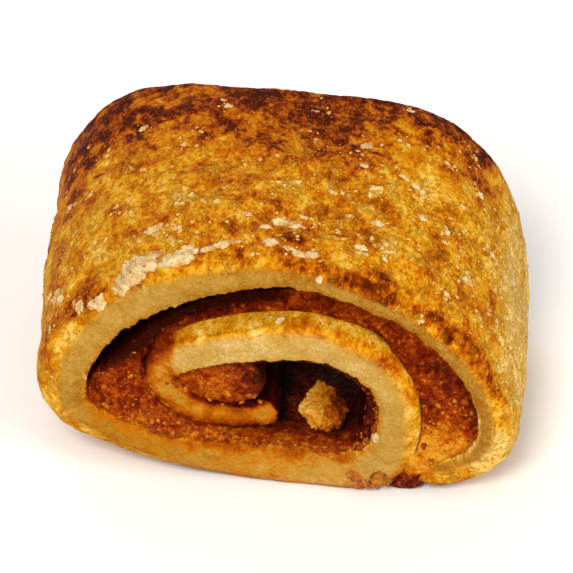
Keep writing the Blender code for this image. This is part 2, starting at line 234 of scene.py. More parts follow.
@dataclass
class Skin:
    """Vertices and faces of a closed surface, with one value or vector a vertex for its finish.

    Attributes:
        vertices: XYZ rows.
        quads: rows of four vertex numbers.
        triangles: rows of three vertex numbers.
        fields: named arrays, one row a vertex, which the materials read.
    """

    vertices: Array
    quads: Array
    triangles: Array
    fields: dict[str, Array] = field(default_factory=dict)

    @classmethod
    def rolled(cls, grid: Array, fields: dict[str, Array] | None = None) -> "Skin":
        """Closes a grid whose columns run round: rings of points, each end shut by a fan.

        Args:
            grid: points as (ring, column, XYZ), where the last column joins the first.
            fields: arrays as (ring, column) or (ring, column, n).

        Returns:
            The skin, with its faces pointing outwards.
        """
        rings, columns = grid.shape[:2]
        number = np.arange(rings * columns).reshape(rings, columns)
        after = np.roll(number, -1, axis=1)
        quads = np.stack([number[:-1], after[:-1], after[1:], number[1:]], -1).reshape(-1, 4)
        first, last = rings * columns, rings * columns + 1
        shut = [
            np.stack([after[0], number[0], np.full(columns, first)], -1),
            np.stack([number[-1], after[-1], np.full(columns, last)], -1),
        ]
        vertices = np.concatenate([grid.reshape(-1, 3), grid[[0, -1]].mean(axis=1)])
        flat = {}
        for name, values in (fields or {}).items():
            rows = values.reshape(rings * columns, *values.shape[2:])
            flat[name] = np.concatenate([rows, values[[0, -1]].mean(axis=1)])
        return cls(vertices, quads, np.concatenate(shut), flat).outwards()

    @classmethod
    def joined(cls, skins: list["Skin"]) -> "Skin":
        """Several skins as one, each still closed in itself.

        Args:
            skins: the skins, all with the same fields.

        Returns:
            One skin with all their faces.
        """
        starts = np.cumsum([0] + [len(skin.vertices) for skin in skins[:-1]])
        names = skins[0].fields
        return cls(
            np.concatenate([skin.vertices for skin in skins]),
            np.concatenate([skin.quads + start for skin, start in zip(skins, starts)]),
            np.concatenate([skin.triangles + start for skin, start in zip(skins, starts)]),
            {name: np.concatenate([skin.fields[name] for skin in skins]) for name in names},
        )

    def outwards(self) -> "Skin":
        """Turns the faces over if the volume they hold, summed over tetrahedra, is negative.

        Returns:
            The skin itself.
        """
        corners = np.concatenate([self.triangles, self.quads[:, [0, 1, 2]], self.quads[:, [0, 2, 3]]])
        a, b, c = (self.vertices[corners[:, k]] for k in range(3))
        if np.sum(a * np.cross(b, c)) < 0:
            self.quads = self.quads[:, ::-1]
            self.triangles = self.triangles[:, ::-1]
        return self

    def make(self, name: str, material: Material, slot: str | None = None,
             *nodes: str) -> Piece:
        """Makes the object, which rides on the body and stands for the named nodes.

        Args:
            name: the piece's name.
            material: its finish.
            slot: the material slot of the record that it follows, if any; it is not used.
            nodes: the solids that it replaces.

        Returns:
            The object, shaded smooth, at the origin.
        """
        mesh = bpy.data.meshes.new(name)
        mesh.from_pydata(self.vertices.tolist(), [], self.quads.tolist() + self.triangles.tolist())
        for title, values in self.fields.items():
            kind, key = ("FLOAT", "value") if values.ndim == 1 else ("FLOAT_VECTOR", "vector")
            layer = mesh.attributes.new(title, kind, "POINT")
            layer.data.foreach_set(key, np.ascontiguousarray(values, np.float32).ravel())
        mesh.shade_smooth()
        mesh.materials.append(material)
        mesh.update()
        piece = bpy.data.objects.new(name, mesh)
        bpy.context.scene.collection.objects.link(piece)
        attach(piece, BODY)
        if nodes:
            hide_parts(*nodes)
        log.info("%s: %d vertices, %d triangles", name, len(self.vertices),
                 2 * len(self.quads) + len(self.triangles))
        return piece


def grid_normals(grid: Array, out: Array) -> Array:
    """Unit normals of a grid: the cross product of its steps from row to row and column to column.

    Args:
        grid: points as (row, column, XYZ), where the last column joins the first.
        out: the way out of the first columns, roughly, which gives the normals their sense.

    Returns:
        Normals in the same layout.
    """
    down = np.gradient(grid, axis=0)
    across = (np.roll(grid, -1, axis=1) - np.roll(grid, 1, axis=1)) / 2
    normals = np.cross(across, down)
    normals = normals / np.maximum(np.linalg.norm(normals, axis=-1, keepdims=True), 1e-12)
    inwards = np.sum(normals[:, : out.shape[1]] * out) < 0
    return -normals if inwards else normals


# Finishes


class Op(Enum):
    """What a Math node does with its values."""

    ADD = "ADD"
    SUBTRACT = "SUBTRACT"
    MULTIPLY = "MULTIPLY"
    MAXIMUM = "MAXIMUM"
    ABSOLUTE = "ABSOLUTE"


class Graph:
    """A material's nodes, each made by a short call that gives back its output socket.

    Attributes:
        material: the material.
        tree: its nodes and links.
        shader: its Principled shader.
    """

    def __init__(self, name: str) -> None:
        """Starts a material with a Principled shader and its output.

        Args:
            name: the material's name.
        """
        self.material = bpy.data.materials.new(name)
        self.material.use_nodes = True
        self.tree = self.material.node_tree
        self.tree.nodes.clear()
        self.shader = self.tree.nodes.new("ShaderNodeBsdfPrincipled")
        output = self.tree.nodes.new("ShaderNodeOutputMaterial")
        self.tree.links.new(self.shader.outputs["BSDF"], output.inputs["Surface"])

    def put(self, socket: Socket, value: Value) -> None:
        """Links a socket to another node's output, or sets its value.

        Args:
            socket: the input socket.
            value: an output socket, or a value of the input's kind. A colour gets its alpha here.
        """
        if isinstance(value, Socket):
            self.tree.links.new(value, socket)
        elif isinstance(value, tuple) and len(value) == 3 and socket.type == "RGBA":
            socket.default_value = (*value, 1.0)
        else:
            socket.default_value = value

    def node(self, kind: str, output: str | int, inputs: dict[str | int, Value], **settings: str) -> Socket:
        """Makes a node.

        Args:
            kind: its type, without the ShaderNode at the start.
            output: the output that is wanted, by name or number.
            inputs: its inputs, by name or number.
            settings: its settings, by name.

        Returns:
            That output.
        """
        node = self.tree.nodes.new("ShaderNode" + kind)
        for name, setting in settings.items():
            setattr(node, name, setting)
        for name, value in inputs.items():
            self.put(node.inputs[name], value)
        return node.outputs[output]

    def math(self, operation: Op, first: Value, second: Value) -> Socket:
        """One sum of two values."""
        return self.node("Math", 0, {0: first, 1: second}, operation=operation.value)

    def times(self, first: Value, second: Value) -> Socket:
        """The product of two values."""
        return self.math(Op.MULTIPLY, first, second)

    def total(self, *values: Socket) -> Socket:
        """The sum of several values."""
        return reduce(lambda first, second: self.math(Op.ADD, first, second), values)

    def span(self, value: Socket, low: float, high: float, to_low: float = 0.0,
             to_high: float = 1.0) -> Socket:
        """Maps the range low..high evenly to to_low..to_high, held at both ends."""
        return self.node("MapRange", 0, dict(enumerate((value, low, high, to_low, to_high))))

    def sway(self, noise: Socket, reach: float, edge: float = 0.3) -> Socket:
        """Noise as a value from -reach at the edge to +reach at 1 less the edge."""
        return self.span(noise, edge, 1 - edge, -reach, reach)

    def mix(self, share: Socket, first: Value, second: Value) -> Socket:
        """The second colour over the first, by share."""
        return self.node("Mix", 2, {"Factor": share, 6: first, 7: second}, data_type="RGBA")

    def ramp(self, value: Socket, stops: tuple) -> Socket:
        """A colour ramp.

        Args:
            value: the place on the ramp.
            stops: its stops as (place, colour), in rising order.

        Returns:
            The colour there.
        """
        colour = self.node("ValToRGB", 0, {0: value})
        elements = colour.node.color_ramp.elements
        while len(elements) < len(stops):
            elements.new(0.5)
        for element, (place, shade) in zip(elements, stops):
            element.position = place
            element.color = (*shade, 1.0)
        return colour

    def read(self, name: str, output: str = "Fac") -> Socket:
        """A named attribute of the mesh, as a value, or as a vector by the output Vector."""
        return self.node("Attribute", output, {}, attribute_name=name)

    def in_mm(self) -> Socket:
        """The place on the piece itself in millimetres: Object coordinates times 1000."""
        where = self.node("TexCoord", "Object", {})
        return self.node("Mapping", 0, {"Vector": where, "Scale": (1 / MM, 1 / MM, 1 / MM)})

    def noise(self, where: Socket, scale: float, detail: float, rough: float = 0.55,
              swirl: float = 0.0) -> Socket:
        """Fractal noise, 0 to 1, with its octaves by detail, drawn into swirls by its own bending."""
        return self.node("TexNoise", "Fac", {"Vector": where, "Scale": scale, "Detail": detail,
                                             "Roughness": rough, "Distortion": swirl})

    def cells(self, where: Socket, scale: float) -> tuple[Socket, Socket]:
        """The distance to the nearest of scattered seeds, and a random value for its cell."""
        near = self.node("TexVoronoi", "Distance", {"Vector": where, "Scale": scale})
        return near, near.node.outputs["Color"]

    def bump(self, height: Socket, distance: float, strength: float, under: Socket | None = None) -> Socket:
        """A normal bent by a height that stands out by distance, in metres, on top of another bump."""
        inputs = {"Distance": distance, "Strength": strength, "Height": height}
        return self.node("Bump", 0, inputs if under is None else {**inputs, "Normal": under})

    def finish(self, **sockets: Value) -> Material:
        """Sets the shader's sockets.

        Args:
            sockets: the values by the sockets' names, with _ for a space.

        Returns:
            The finished material.
        """
        for name, value in sockets.items():
            self.put(self.shader.inputs[name.replace("_", " ")], value)
        return self.material


@dataclass(frozen=True)
class DoughFinish:
    """Baked dough: a mottled golden crust with pale flakes, a sandy cut face and the filling's stains,
    with painted shade in the hollows and along the flakes' edges.

    Attributes:
        crust: the crust's colours from cream over gold to burnt, at their places on the tone.
        flake, thin_flake: the pale leaves that lift off the crust, and where they are only thin.
        crease: the brown in its thin folds, also used for the painted shadow line round the flakes.
        crumb: the cut face's colours, dark to light.
        stain: the filling's stains, thin to thick, whose dark end also serves as painted shade.
        gloss, gloss_tint: strength and colour of its soft gloss.
    """

    crust: tuple = (
        (0.00, linear(232, 192, 106)), (0.15, linear(219, 169, 64)), (0.34, linear(205, 146, 23)),
        (0.52, linear(191, 116, 9)), (0.68, linear(172, 86, 4)), (0.84, linear(120, 42, 2)),
        (1.00, linear(62, 14, 1)),
    )
    flake: Colour = linear(244, 207, 130)
    thin_flake: Colour = linear(230, 160, 22)
    crease: Colour = linear(136, 56, 3)
    crumb: tuple = (
        (0.00, linear(146, 86, 9)), (0.30, linear(167, 124, 46)), (0.60, linear(187, 148, 71)),
        (1.00, linear(216, 187, 134)),
    )
    stain: tuple = (
        (0.00, linear(194, 126, 14)), (0.30, linear(169, 87, 6)), (0.60, linear(124, 39, 3)),
        (0.85, linear(78, 11, 2)), (1.00, linear(44, 2, 2)),
    )
    gloss: float = 0.05
    gloss_tint: Colour = (1.0, 0.60, 0.20)

    def material(self) -> Material:
        """Builds the crust, the cut face and the stains with their painted shade, and lays one over the
        other by attribute.

        Returns:
            The finished material.
        """
        g = Graph("dough")
        unrolled, laid = (g.read(name, "Vector") for name in ("unrolled", "laid"))
        broad = g.noise(laid, 0.26, 3.0, 0.5, 0.6)
        mottle = g.noise(laid, 0.80, 6.0, 0.64, 0.4)
        fine = g.noise(laid, 2.8, 4.0, 0.68, 0.3)
        leaf = g.noise(laid, 1.05, 7.0, 0.66, 0.5)
        grit = g.noise(unrolled, 2.6, 5.0, 0.70, 0.3)
        sand = g.noise(unrolled, 8.0, 3.0, 0.62)

        tone = g.total(g.read("tone"), g.sway(broad, 0.10, 0.35), g.sway(mottle, 0.26, 0.32),
                       g.sway(fine, 0.22))
        crust = g.ramp(tone, self.crust)
        fold = g.total(g.read("crease"), g.sway(leaf, 0.3, 0.35))
        crust = g.mix(g.span(fold, 0.50, 0.90, 0.0, 0.60), crust, self.crease)
        lifted = g.total(g.times(g.read("flake"), 0.56), g.span(leaf, 0.30, 0.70, -0.48, 0.54),
                         g.sway(fine, 0.32))
        # Painted shadow: a thin line in the crease colour just outside the edges of the lifted flakes.
        under = g.math(Op.ABSOLUTE, g.math(Op.SUBTRACT, lifted, 0.20), 0.0)
        crust = g.mix(g.span(under, 0.0, 0.12, 0.40, 0.0), crust, self.crease)
        raised = g.span(lifted, 0.24, 0.86, 0.0, 0.92)
        crust = g.mix(raised, crust, g.mix(g.span(lifted, 0.54, 0.92), self.thin_flake, self.flake))

        soft = g.total(g.read("crumb"), g.sway(grit, 0.19), g.sway(sand, 0.10))
        base = g.mix(g.read("cut"), crust, g.ramp(soft, self.crumb))
        # The filling's stains and the painted shade in the hollows share one value and one ramp.
        thick = g.total(g.read("stain"), g.sway(mottle, 0.16), g.sway(fine, 0.12))
        base = g.mix(g.span(thick, 0.14, 0.50), base, g.ramp(g.span(thick, 0.25, 1.35), self.stain))

        rough = g.math(Op.MAXIMUM, g.span(tone, 0.2, 0.9, 0.66, 0.60), g.times(g.read("cut"), 0.78))
        rough = g.math(Op.SUBTRACT, rough, g.times(g.span(thick, 0.3, 0.7), 0.22))
        bare = g.math(Op.SUBTRACT, 1.0, g.read("cut"))
        normal = g.bump(mottle, 0.00024, 0.8)
        normal = g.bump(g.times(raised, bare), 0.00013, 0.9, normal)
        normal = g.bump(fine, 0.00020, 0.9, normal)
        normal = g.bump(sand, 0.00007, 0.8, normal)
        return g.finish(Base_Color=base, Roughness=rough, Normal=normal, Specular_IOR_Level=self.gloss,
                        Specular_Tint=self.gloss_tint)


@dataclass(frozen=True)
class FillingFinish:
    """Brown sugar and spice paste: gritty and sticky, and darker the deeper it lies, by painted shade.

    Attributes:
        paste: its colours, from thin to deep, whose dark end also serves as painted shade.
        grain: the grains of sugar in it.
        gloss, gloss_tint: strength and colour of its gloss.
    """

    paste: tuple = (
        (0.00, linear(208, 142, 34)), (0.22, linear(188, 104, 9)), (0.45, linear(154, 58, 3)),
        (0.70, linear(106, 24, 2)), (1.00, linear(44, 2, 2)),
    )
    grain: Colour = linear(208, 130, 30)
    gloss: float = 0.12
    gloss_tint: Colour = (1.0, 0.48, 0.14)

    def material(self) -> Material:
        """Builds the gritty paste from the depth that the mesh carries, painted shade included, and noise
        on its own place.

        Returns:
            The finished material.
        """
        g = Graph("filling")
        where = g.in_mm()
        coarse = g.noise(where, 0.62, 5.0, 0.62, 0.5)
        middle = g.noise(where, 2.0, 4.0, 0.65, 0.3)
        fine = g.noise(where, 5.5, 3.0, 0.62)
        depth = g.total(g.read("depth"), g.sway(coarse, 0.24), g.sway(middle, 0.22), g.sway(fine, 0.12))
        near, which = g.cells(where, 1.8)
        grains = g.times(g.span(near, 0.08, 0.42, 1.0, 0.0), g.span(which, 0.46, 0.62))
        grains = g.times(grains, g.span(depth, 0.25, 0.85, 0.75, 0.10))
        base = g.mix(grains, g.ramp(depth, self.paste), self.grain)
        normal = g.bump(middle, 0.00030, 1.0)
        normal = g.bump(grains, 0.00012, 0.9, normal)
        normal = g.bump(fine, 0.00014, 1.0, normal)
        return g.finish(Base_Color=base, Roughness=g.span(middle, 0.3, 0.7, 0.30, 0.62), Normal=normal,
                        Specular_IOR_Level=self.gloss, Specular_Tint=self.gloss_tint)


@dataclass(frozen=True)
class NutFinish:
    """A broken lump of nut, tan, with painted light and shade: lighter at its upper left, browner at
    its lower right.

    Attributes:
        colours: its colours, dark to light.
        rough: its roughness.
        gloss, gloss_tint: strength and colour of its gloss.
    """

    colours: tuple = (
        (0.12, linear(92, 28, 3)), (0.36, linear(150, 66, 5)), (0.62, linear(188, 113, 17)),
        (0.98, linear(214, 160, 62)),
    )
    rough: float = 0.6
    gloss: float = 0.1
    gloss_tint: Colour = (1.0, 0.7, 0.35)

    def material(self) -> Material:
        """Builds the tan from the painted light and shade that the mesh carries and two sizes of noise.

        Returns:
            The finished material.
        """
        g = Graph("nut")
        where = g.in_mm()
        coarse = g.noise(where, 1.1, 5.0, 0.68, 0.6)
        fine = g.noise(where, 4.5, 3.0, 0.6)
        tone = g.total(g.read("shade"), g.sway(coarse, 0.20), g.sway(fine, 0.08))
        normal = g.bump(fine, 0.00016, 1.0, g.bump(coarse, 0.00030, 1.0))
        return g.finish(Base_Color=g.ramp(tone, self.colours), Roughness=self.rough, Normal=normal,
                        Specular_IOR_Level=self.gloss, Specular_Tint=self.gloss_tint)


@dataclass(frozen=True)
class SugarFinish:
    """Sugar and flour baked on in pale cream lumps, and other crumbs of two shades.

    Attributes:
        name: the material's name.
        light, shade: the crumbs' lighter and darker colour.
        rough: their roughness.
        gloss, gloss_tint: strength and colour of their gloss.
    """

    name: str = "sugar"
    light: Colour = linear(222, 203, 154)
    shade: Colour = linear(181, 121, 37)
    rough: float = 0.6
    gloss: float = 0.3
    gloss_tint: Colour = (1.0, 0.85, 0.6)

    def material(self) -> Material:
        """Builds the two shades from fine noise.

        Returns:
            The finished material.
        """
        g = Graph(self.name)
        where = g.in_mm()
        soft = g.noise(where, 1.2, 5.0, 0.64, 0.4)
        fine = g.noise(where, 4.5, 3.0, 0.62)
        normal = g.bump(fine, 0.00014, 0.9, g.bump(soft, 0.00040, 0.9))
        base = g.mix(g.span(soft, 0.34, 0.62), self.shade, self.light)
        return g.finish(Base_Color=base, Roughness=self.rough, Normal=normal, Specular_IOR_Level=self.gloss,
                        Specular_Tint=self.gloss_tint)


# The roll


@dataclass(frozen=True)
class Roll:
    """The form that the solids share: a spiral of dough, then one warp that bakes it.

    Attributes:
        turn_points: where the middle of the sheet lies furthest down, right, up and left in turn.
        corner_power: squareness of each quarter between them; under 1 is squarer.
        quarter: the turn from one of these points to the next.
        seam_turn, tongue_turn: the sheet's outer end, and its inner end in the heart.
        length: the slice's length along Y.
        bulge: how much wider and higher the roll is at mid length.
        taper_front, taper_back: how much narrower and lower it is at its front and back end.
        taper_power: how late it tapers.
        back_shoulder, shoulder_height: how much squarer the top is at the back, and above what height.
        back_left, left_rise: how much wider the left side is there, and over what height that sets in.
        cut_skew: how much the cut faces slant, in Y for X.
        dough_turns, dough_thickness: the sheet's thickness at each of these turns.
        proud_turns, proud_front, proud_back: how far its cut edges stand out at each of these turns.
        soft_wobble, wobble_free: height of the uneven waves, and the height above the floor up to
            which they fade in.
        wobble_waves: two crossed waves each for X, Y and Z, as axis, radians to a metre, and phase.
        path_steps: how many steps a path is measured in.
        settle: the shift that centres the finished piece on the origin.
    """

    turn_points: tuple = (
        (0.0092, 0.0017), (0.0196, 0.0072), (-0.0005, 0.02255), (-0.0187, 0.0086), (0.0055, 0.0020),
        (0.0113, 0.0094), (0.0020, 0.0162), (-0.0098, 0.0109), (-0.0030, 0.0070), (0.0030, 0.0082),
    )
    corner_power: tuple = (0.84, 1.0, 1.10, 0.82, 0.86, 1.0, 1.0, 1.0, 1.0)
    quarter: float = 90.0
    seam_turn: float = -70.0
    tongue_turn: float = 662.0
    length: float = 0.029
    bulge: tuple[float, float] = (1.050, 1.040)
    taper_front: tuple[float, float] = (0.055, 0.045)
    taper_back: tuple[float, float] = (0.020, 0.030)
    taper_power: float = 3.0
    back_shoulder: float = 0.135
    shoulder_height: float = 0.0085
    back_left: float = 0.07
    left_rise: float = 0.008
    cut_skew: float = 0.065
    dough_turns: tuple = (-75, -45, -20, 5, 90, 135, 180, 225, 270, 310, 350, 450, 540, 600, 640, 665)
    dough_thickness: tuple = (0.0027, 0.0036, 0.0034, 0.0027, 0.0026, 0.0040, 0.0041, 0.0037, 0.0048, 0.0047,
                              0.0039, 0.0034, 0.0028, 0.0029, 0.0027, 0.0024)
    proud_turns: tuple = (-75, 60, 250, 350, 470, 560, 665)
    proud_front: tuple = (-0.0004, 0.0, -0.0001, 0.0004, 0.0008, -0.0003, -0.0012)
    proud_back: tuple = (-0.0005, 0.0002, -0.0003, 0.0006, 0.0003, -0.0010, -0.0018)
    soft_wobble: float = 0.00020
    wobble_free: float = 0.004
    wobble_waves: tuple = (
        ((1, 430.0, 0.6), (2, 310.0, 1.1)),
        ((0, 390.0, 2.0), (2, 350.0, 0.0)),
        ((0, 360.0, 0.4), (1, 420.0, 1.3)),
    )
    path_steps: int = 6000
    settle: tuple[float, float, float] = (-0.00018134, 0.00015027, 0.0)

    def middle(self, turns: Array) -> Array:
        """The middle of the sheet on the cut face, X and Z: quarters of superellipses end to end.

        With a as the angle swept in its quarter and p as its power, a quarter goes sin(a)^p of the
        way along one axis and 1 - cos(a)^p along the other.

        Args:
            turns: turn angles.

        Returns:
            One row of X and Z for each.
        """
        points = np.array(self.turn_points)
        quarters = (np.asarray(turns, float) + self.quarter) / self.quarter
        i = np.clip(np.floor(quarters).astype(int), 0, len(points) - 2)
        swept = (quarters - i) * math.pi / 2
        start, change = points[i], points[i + 1] - points[i]
        power = np.array(self.corner_power)[i]
        early = np.clip(np.sin(swept), 0, 1) ** power
        late = 1 - np.clip(np.cos(swept), 0, 1) ** power
        level = (i % 2 == 0)[..., None]
        return start + change * np.where(level, np.stack([early, late], -1), np.stack([late, early], -1))

    def outward(self, turns: Array) -> Array:
        """The unit normal of the sheet on the cut face, away from the heart.

        Args:
            turns: turn angles.

        Returns:
            One row of X and Z for each.
        """
        along = self.middle(turns + 0.5) - self.middle(turns - 0.5)
        outward = np.stack([along[:, 1], -along[:, 0]], -1)
        return outward / np.linalg.norm(outward, axis=1, keepdims=True)

    def thickness(self, turns: Array) -> Array:
        """The sheet's thickness."""
        return eased(turns, self.dough_turns, self.dough_thickness)

    def face(self, turns: Array, side: int) -> Array:
        """The sheet's outer face (side 1) or inner face (side -1) on the cut face."""
        return self.middle(turns) + self.outward(turns) * (side * self.thickness(turns) / 2)[:, None]

    def ends(self, turns: Array, taken_in: Array | float = 0.0) -> tuple[Array, Array]:
        """The ends of the sheet along Y.

        Args:
            turns: turn angles.
            taken_in: how far both ends are taken in.

        Returns:
            The front end and the back end at each.
        """
        front = -self.length / 2 - eased(turns, self.proud_turns, self.proud_front) + taken_in
        back = self.length / 2 + eased(turns, self.proud_turns, self.proud_back) - taken_in
        return front, back

    def travelled(self, turns: Array) -> Array:
        """Distance along the middle of the sheet from its seam, summed over small steps.

        Args:
            turns: turn angles.

        Returns:
            The distance at each.
        """
        fine = np.linspace(self.seam_turn - 5, self.tongue_turn + 5, self.path_steps)
        steps = np.linalg.norm(np.diff(self.middle(fine), axis=0), axis=1)
        return np.interp(turns, fine, np.concatenate([[0], np.cumsum(steps)]))

    def stations(self, first: float, last: float, count: int, turns: tuple, weights: tuple) -> Array:
        """Turn angles spaced evenly along the path, but denser where the weights are higher.

        Args:
            first, last: the first and the last turn.
            count: how many angles.
            turns: knots of the weights.
            weights: how densely stations lie there, by distance.

        Returns:
            The angles, in rising order.
        """
        fine = np.linspace(first, last, self.path_steps)
        least = 4e-7
        density = np.gradient(self.travelled(fine)) * np.interp(fine, turns, weights) + least
        share = np.cumsum(density) - density[0]
        return np.interp(np.linspace(0, 1, count), share / share[-1], fine)

    def baked(self, points: Array) -> Array:
        """Gives the straight roll its baked form and settles it on the floor.

        Width and height swell towards mid length and taper by a cube law towards the ends, the top
        grows squarer and its left side wider towards the back, the cuts slant, and two crossed sine
        waves along each axis leave it a little uneven.

        Args:
            points: points of the straight roll, with X, Y and Z on the last axis.

        Returns:
            The baked points in the same layout.
        """
        x, y, z = points[..., 0], points[..., 1], points[..., 2]
        along = np.clip(2 * y / self.length, -1.2, 1.2)
        end = np.abs(along) ** self.taper_power
        front = along < 0
        wide = self.bulge[0] * (1 - end * np.where(front, self.taper_front[0], self.taper_back[0]))
        tall = self.bulge[1] * (1 - end * np.where(front, self.taper_front[1], self.taper_back[1]))
        above = np.maximum(z - self.shoulder_height, 0)
        diagonal = (2 * x * above / np.maximum(x * x + above * above, 1e-9)) ** 2
        backwards = np.clip((along + 1) / 2, 0, 1)
        squarer = 1 + self.back_shoulder * backwards * diagonal
        z = np.where(z > self.shoulder_height, self.shoulder_height + above * squarer, z)
        left = 1 + self.back_left * backwards * np.clip(above / self.left_rise, 0, 1) * (x < 0)
        moved = np.stack([x * wide * squarer * left, y - self.cut_skew * x, z * tall], -1)
        crossed = [[np.sin(moved[..., axis] * per_metre + phase) for axis, per_metre, phase in waves]
                   for waves in self.wobble_waves]
        wobble = np.stack([one * other for one, other in crossed], -1)
        lifted = np.clip(moved[..., 2:] / self.wobble_free, 0, 1)
        return moved + wobble * self.soft_wobble * lifted + np.array(self.settle)

    def wrapped(self, foot: Array, way: Array, loop: dict[str, Array], outer: int) -> tuple[Array, Array]:
        """The baked points and the normals of a slab wound along the roll.

        Args:
            foot: its inner face at each station, X and Z.
            way: the unit way from there to its outer face.
            loop: its section, by Slab.loop.
            outer: how many of its columns lie on the outer face.

        Returns:
            Points and unit normals as (station, column, XYZ).
        """
        x, z = (foot[:, k:k + 1] + way[:, k:k + 1] * loop["across"] for k in range(2))
        grid = self.baked(np.stack([x, loop["y"], z], -1))
        out = np.stack([way[:, 0], np.zeros(len(way)), way[:, 1]], -1)[:, None]
        return grid, grid_normals(grid, np.repeat(out, outer, axis=1))


@dataclass(frozen=True)
class Slab:
    """How a slab's long cross-section is divided into columns, from the outer face round.

    Attributes:
        outer, inner: columns over the outer and the inner face.
        flat: columns over each cut face between its two rounded edges.
        outer_arc, inner_arc: columns over each rounded edge.
    """

    outer: int
    inner: int
    flat: int
    outer_arc: int
    inner_arc: int

    def loop(self, front: Array, back: Array, thickness: Array, outer_radius: Array,
             inner_radius: Array) -> dict[str, Array]:
        """Once round the slab at every station.

        The loop runs over the outer face from front to back, down the back cut face and back over
        the inner face. Rounded edges are quarter circles.

        Args:
            front, back: the ends along Y, one for each station.
            thickness: how thick the slab is.
            outer_radius, inner_radius: radius of the two outer and the two inner edges.

        Returns:
            Arrays as (station, column): y along the roll, across from the inner face out, and cut,
            which is 0 on the faces and 1 on the cut faces.
        """
        f, b, t, ro, ri = (values[:, None] for values in (front, back, thickness, outer_radius, inner_radius))

        def share(count: int) -> Array:
            """Steps from 0 on towards 1, as one row."""
            return (np.arange(count) / count)[None, :]

        def quarter(count: int) -> tuple[Array, Array]:
            """Sine and cosine over a quarter circle."""
            angle = share(count) * math.pi / 2
            return np.sin(angle), np.cos(angle)

        so, co = quarter(self.outer_arc)
        si, ci = quarter(self.inner_arc)
        out, flat, inn = share(self.outer), share(self.flat), share(self.inner)
        pieces = [
            ((f + ro) + (b - f - 2 * ro) * out, t + 0 * out, 0 * out),
            (b - ro + ro * so, t - ro + ro * co, so),
            (b + 0 * flat, (t - ro) + (ri - t + ro) * flat, 1 + 0 * flat),
            (b - ri + ri * ci, ri - ri * si, ci),
            ((b - ri) + (f - b + 2 * ri) * inn, 0 * inn, 0 * inn),
            (f + ri - ri * si, ri - ri * ci, si),
            (f + 0 * flat, ri + (t - ro - ri) * flat, 1 + 0 * flat),
            (f + ro - ro * co, t - ro + ro * so, co),
        ]
        rows = len(front)
        y, across, cut = (np.concatenate([np.broadcast_to(piece[k], (rows, piece[k].shape[1]))
                                          if piece[k].shape[0] == 1 else piece[k] + np.zeros((rows, 1))
                                          for piece in pieces], axis=1) for k in range(3))
        return {"y": y, "across": across, "cut": cut}


@dataclass(frozen=True)
class Site:
    """Where the points of the dough's grid lie, as arrays of (station, column).

    Attributes:
        turn: turn angle.
        share: place across the sheet, 0 inside to 1 outside.
        unrolled: path, Y and depth in millimetres.
        spot: X, Y and Z on the baked roll in millimetres.
        cut: 1 on the cut faces.
        deep: how far it lies behind the nearer cut face, in millimetres.
    """

    turn: Array
    share: Array
    unrolled: Array
    spot: Array
    cut: Array
    deep: Array


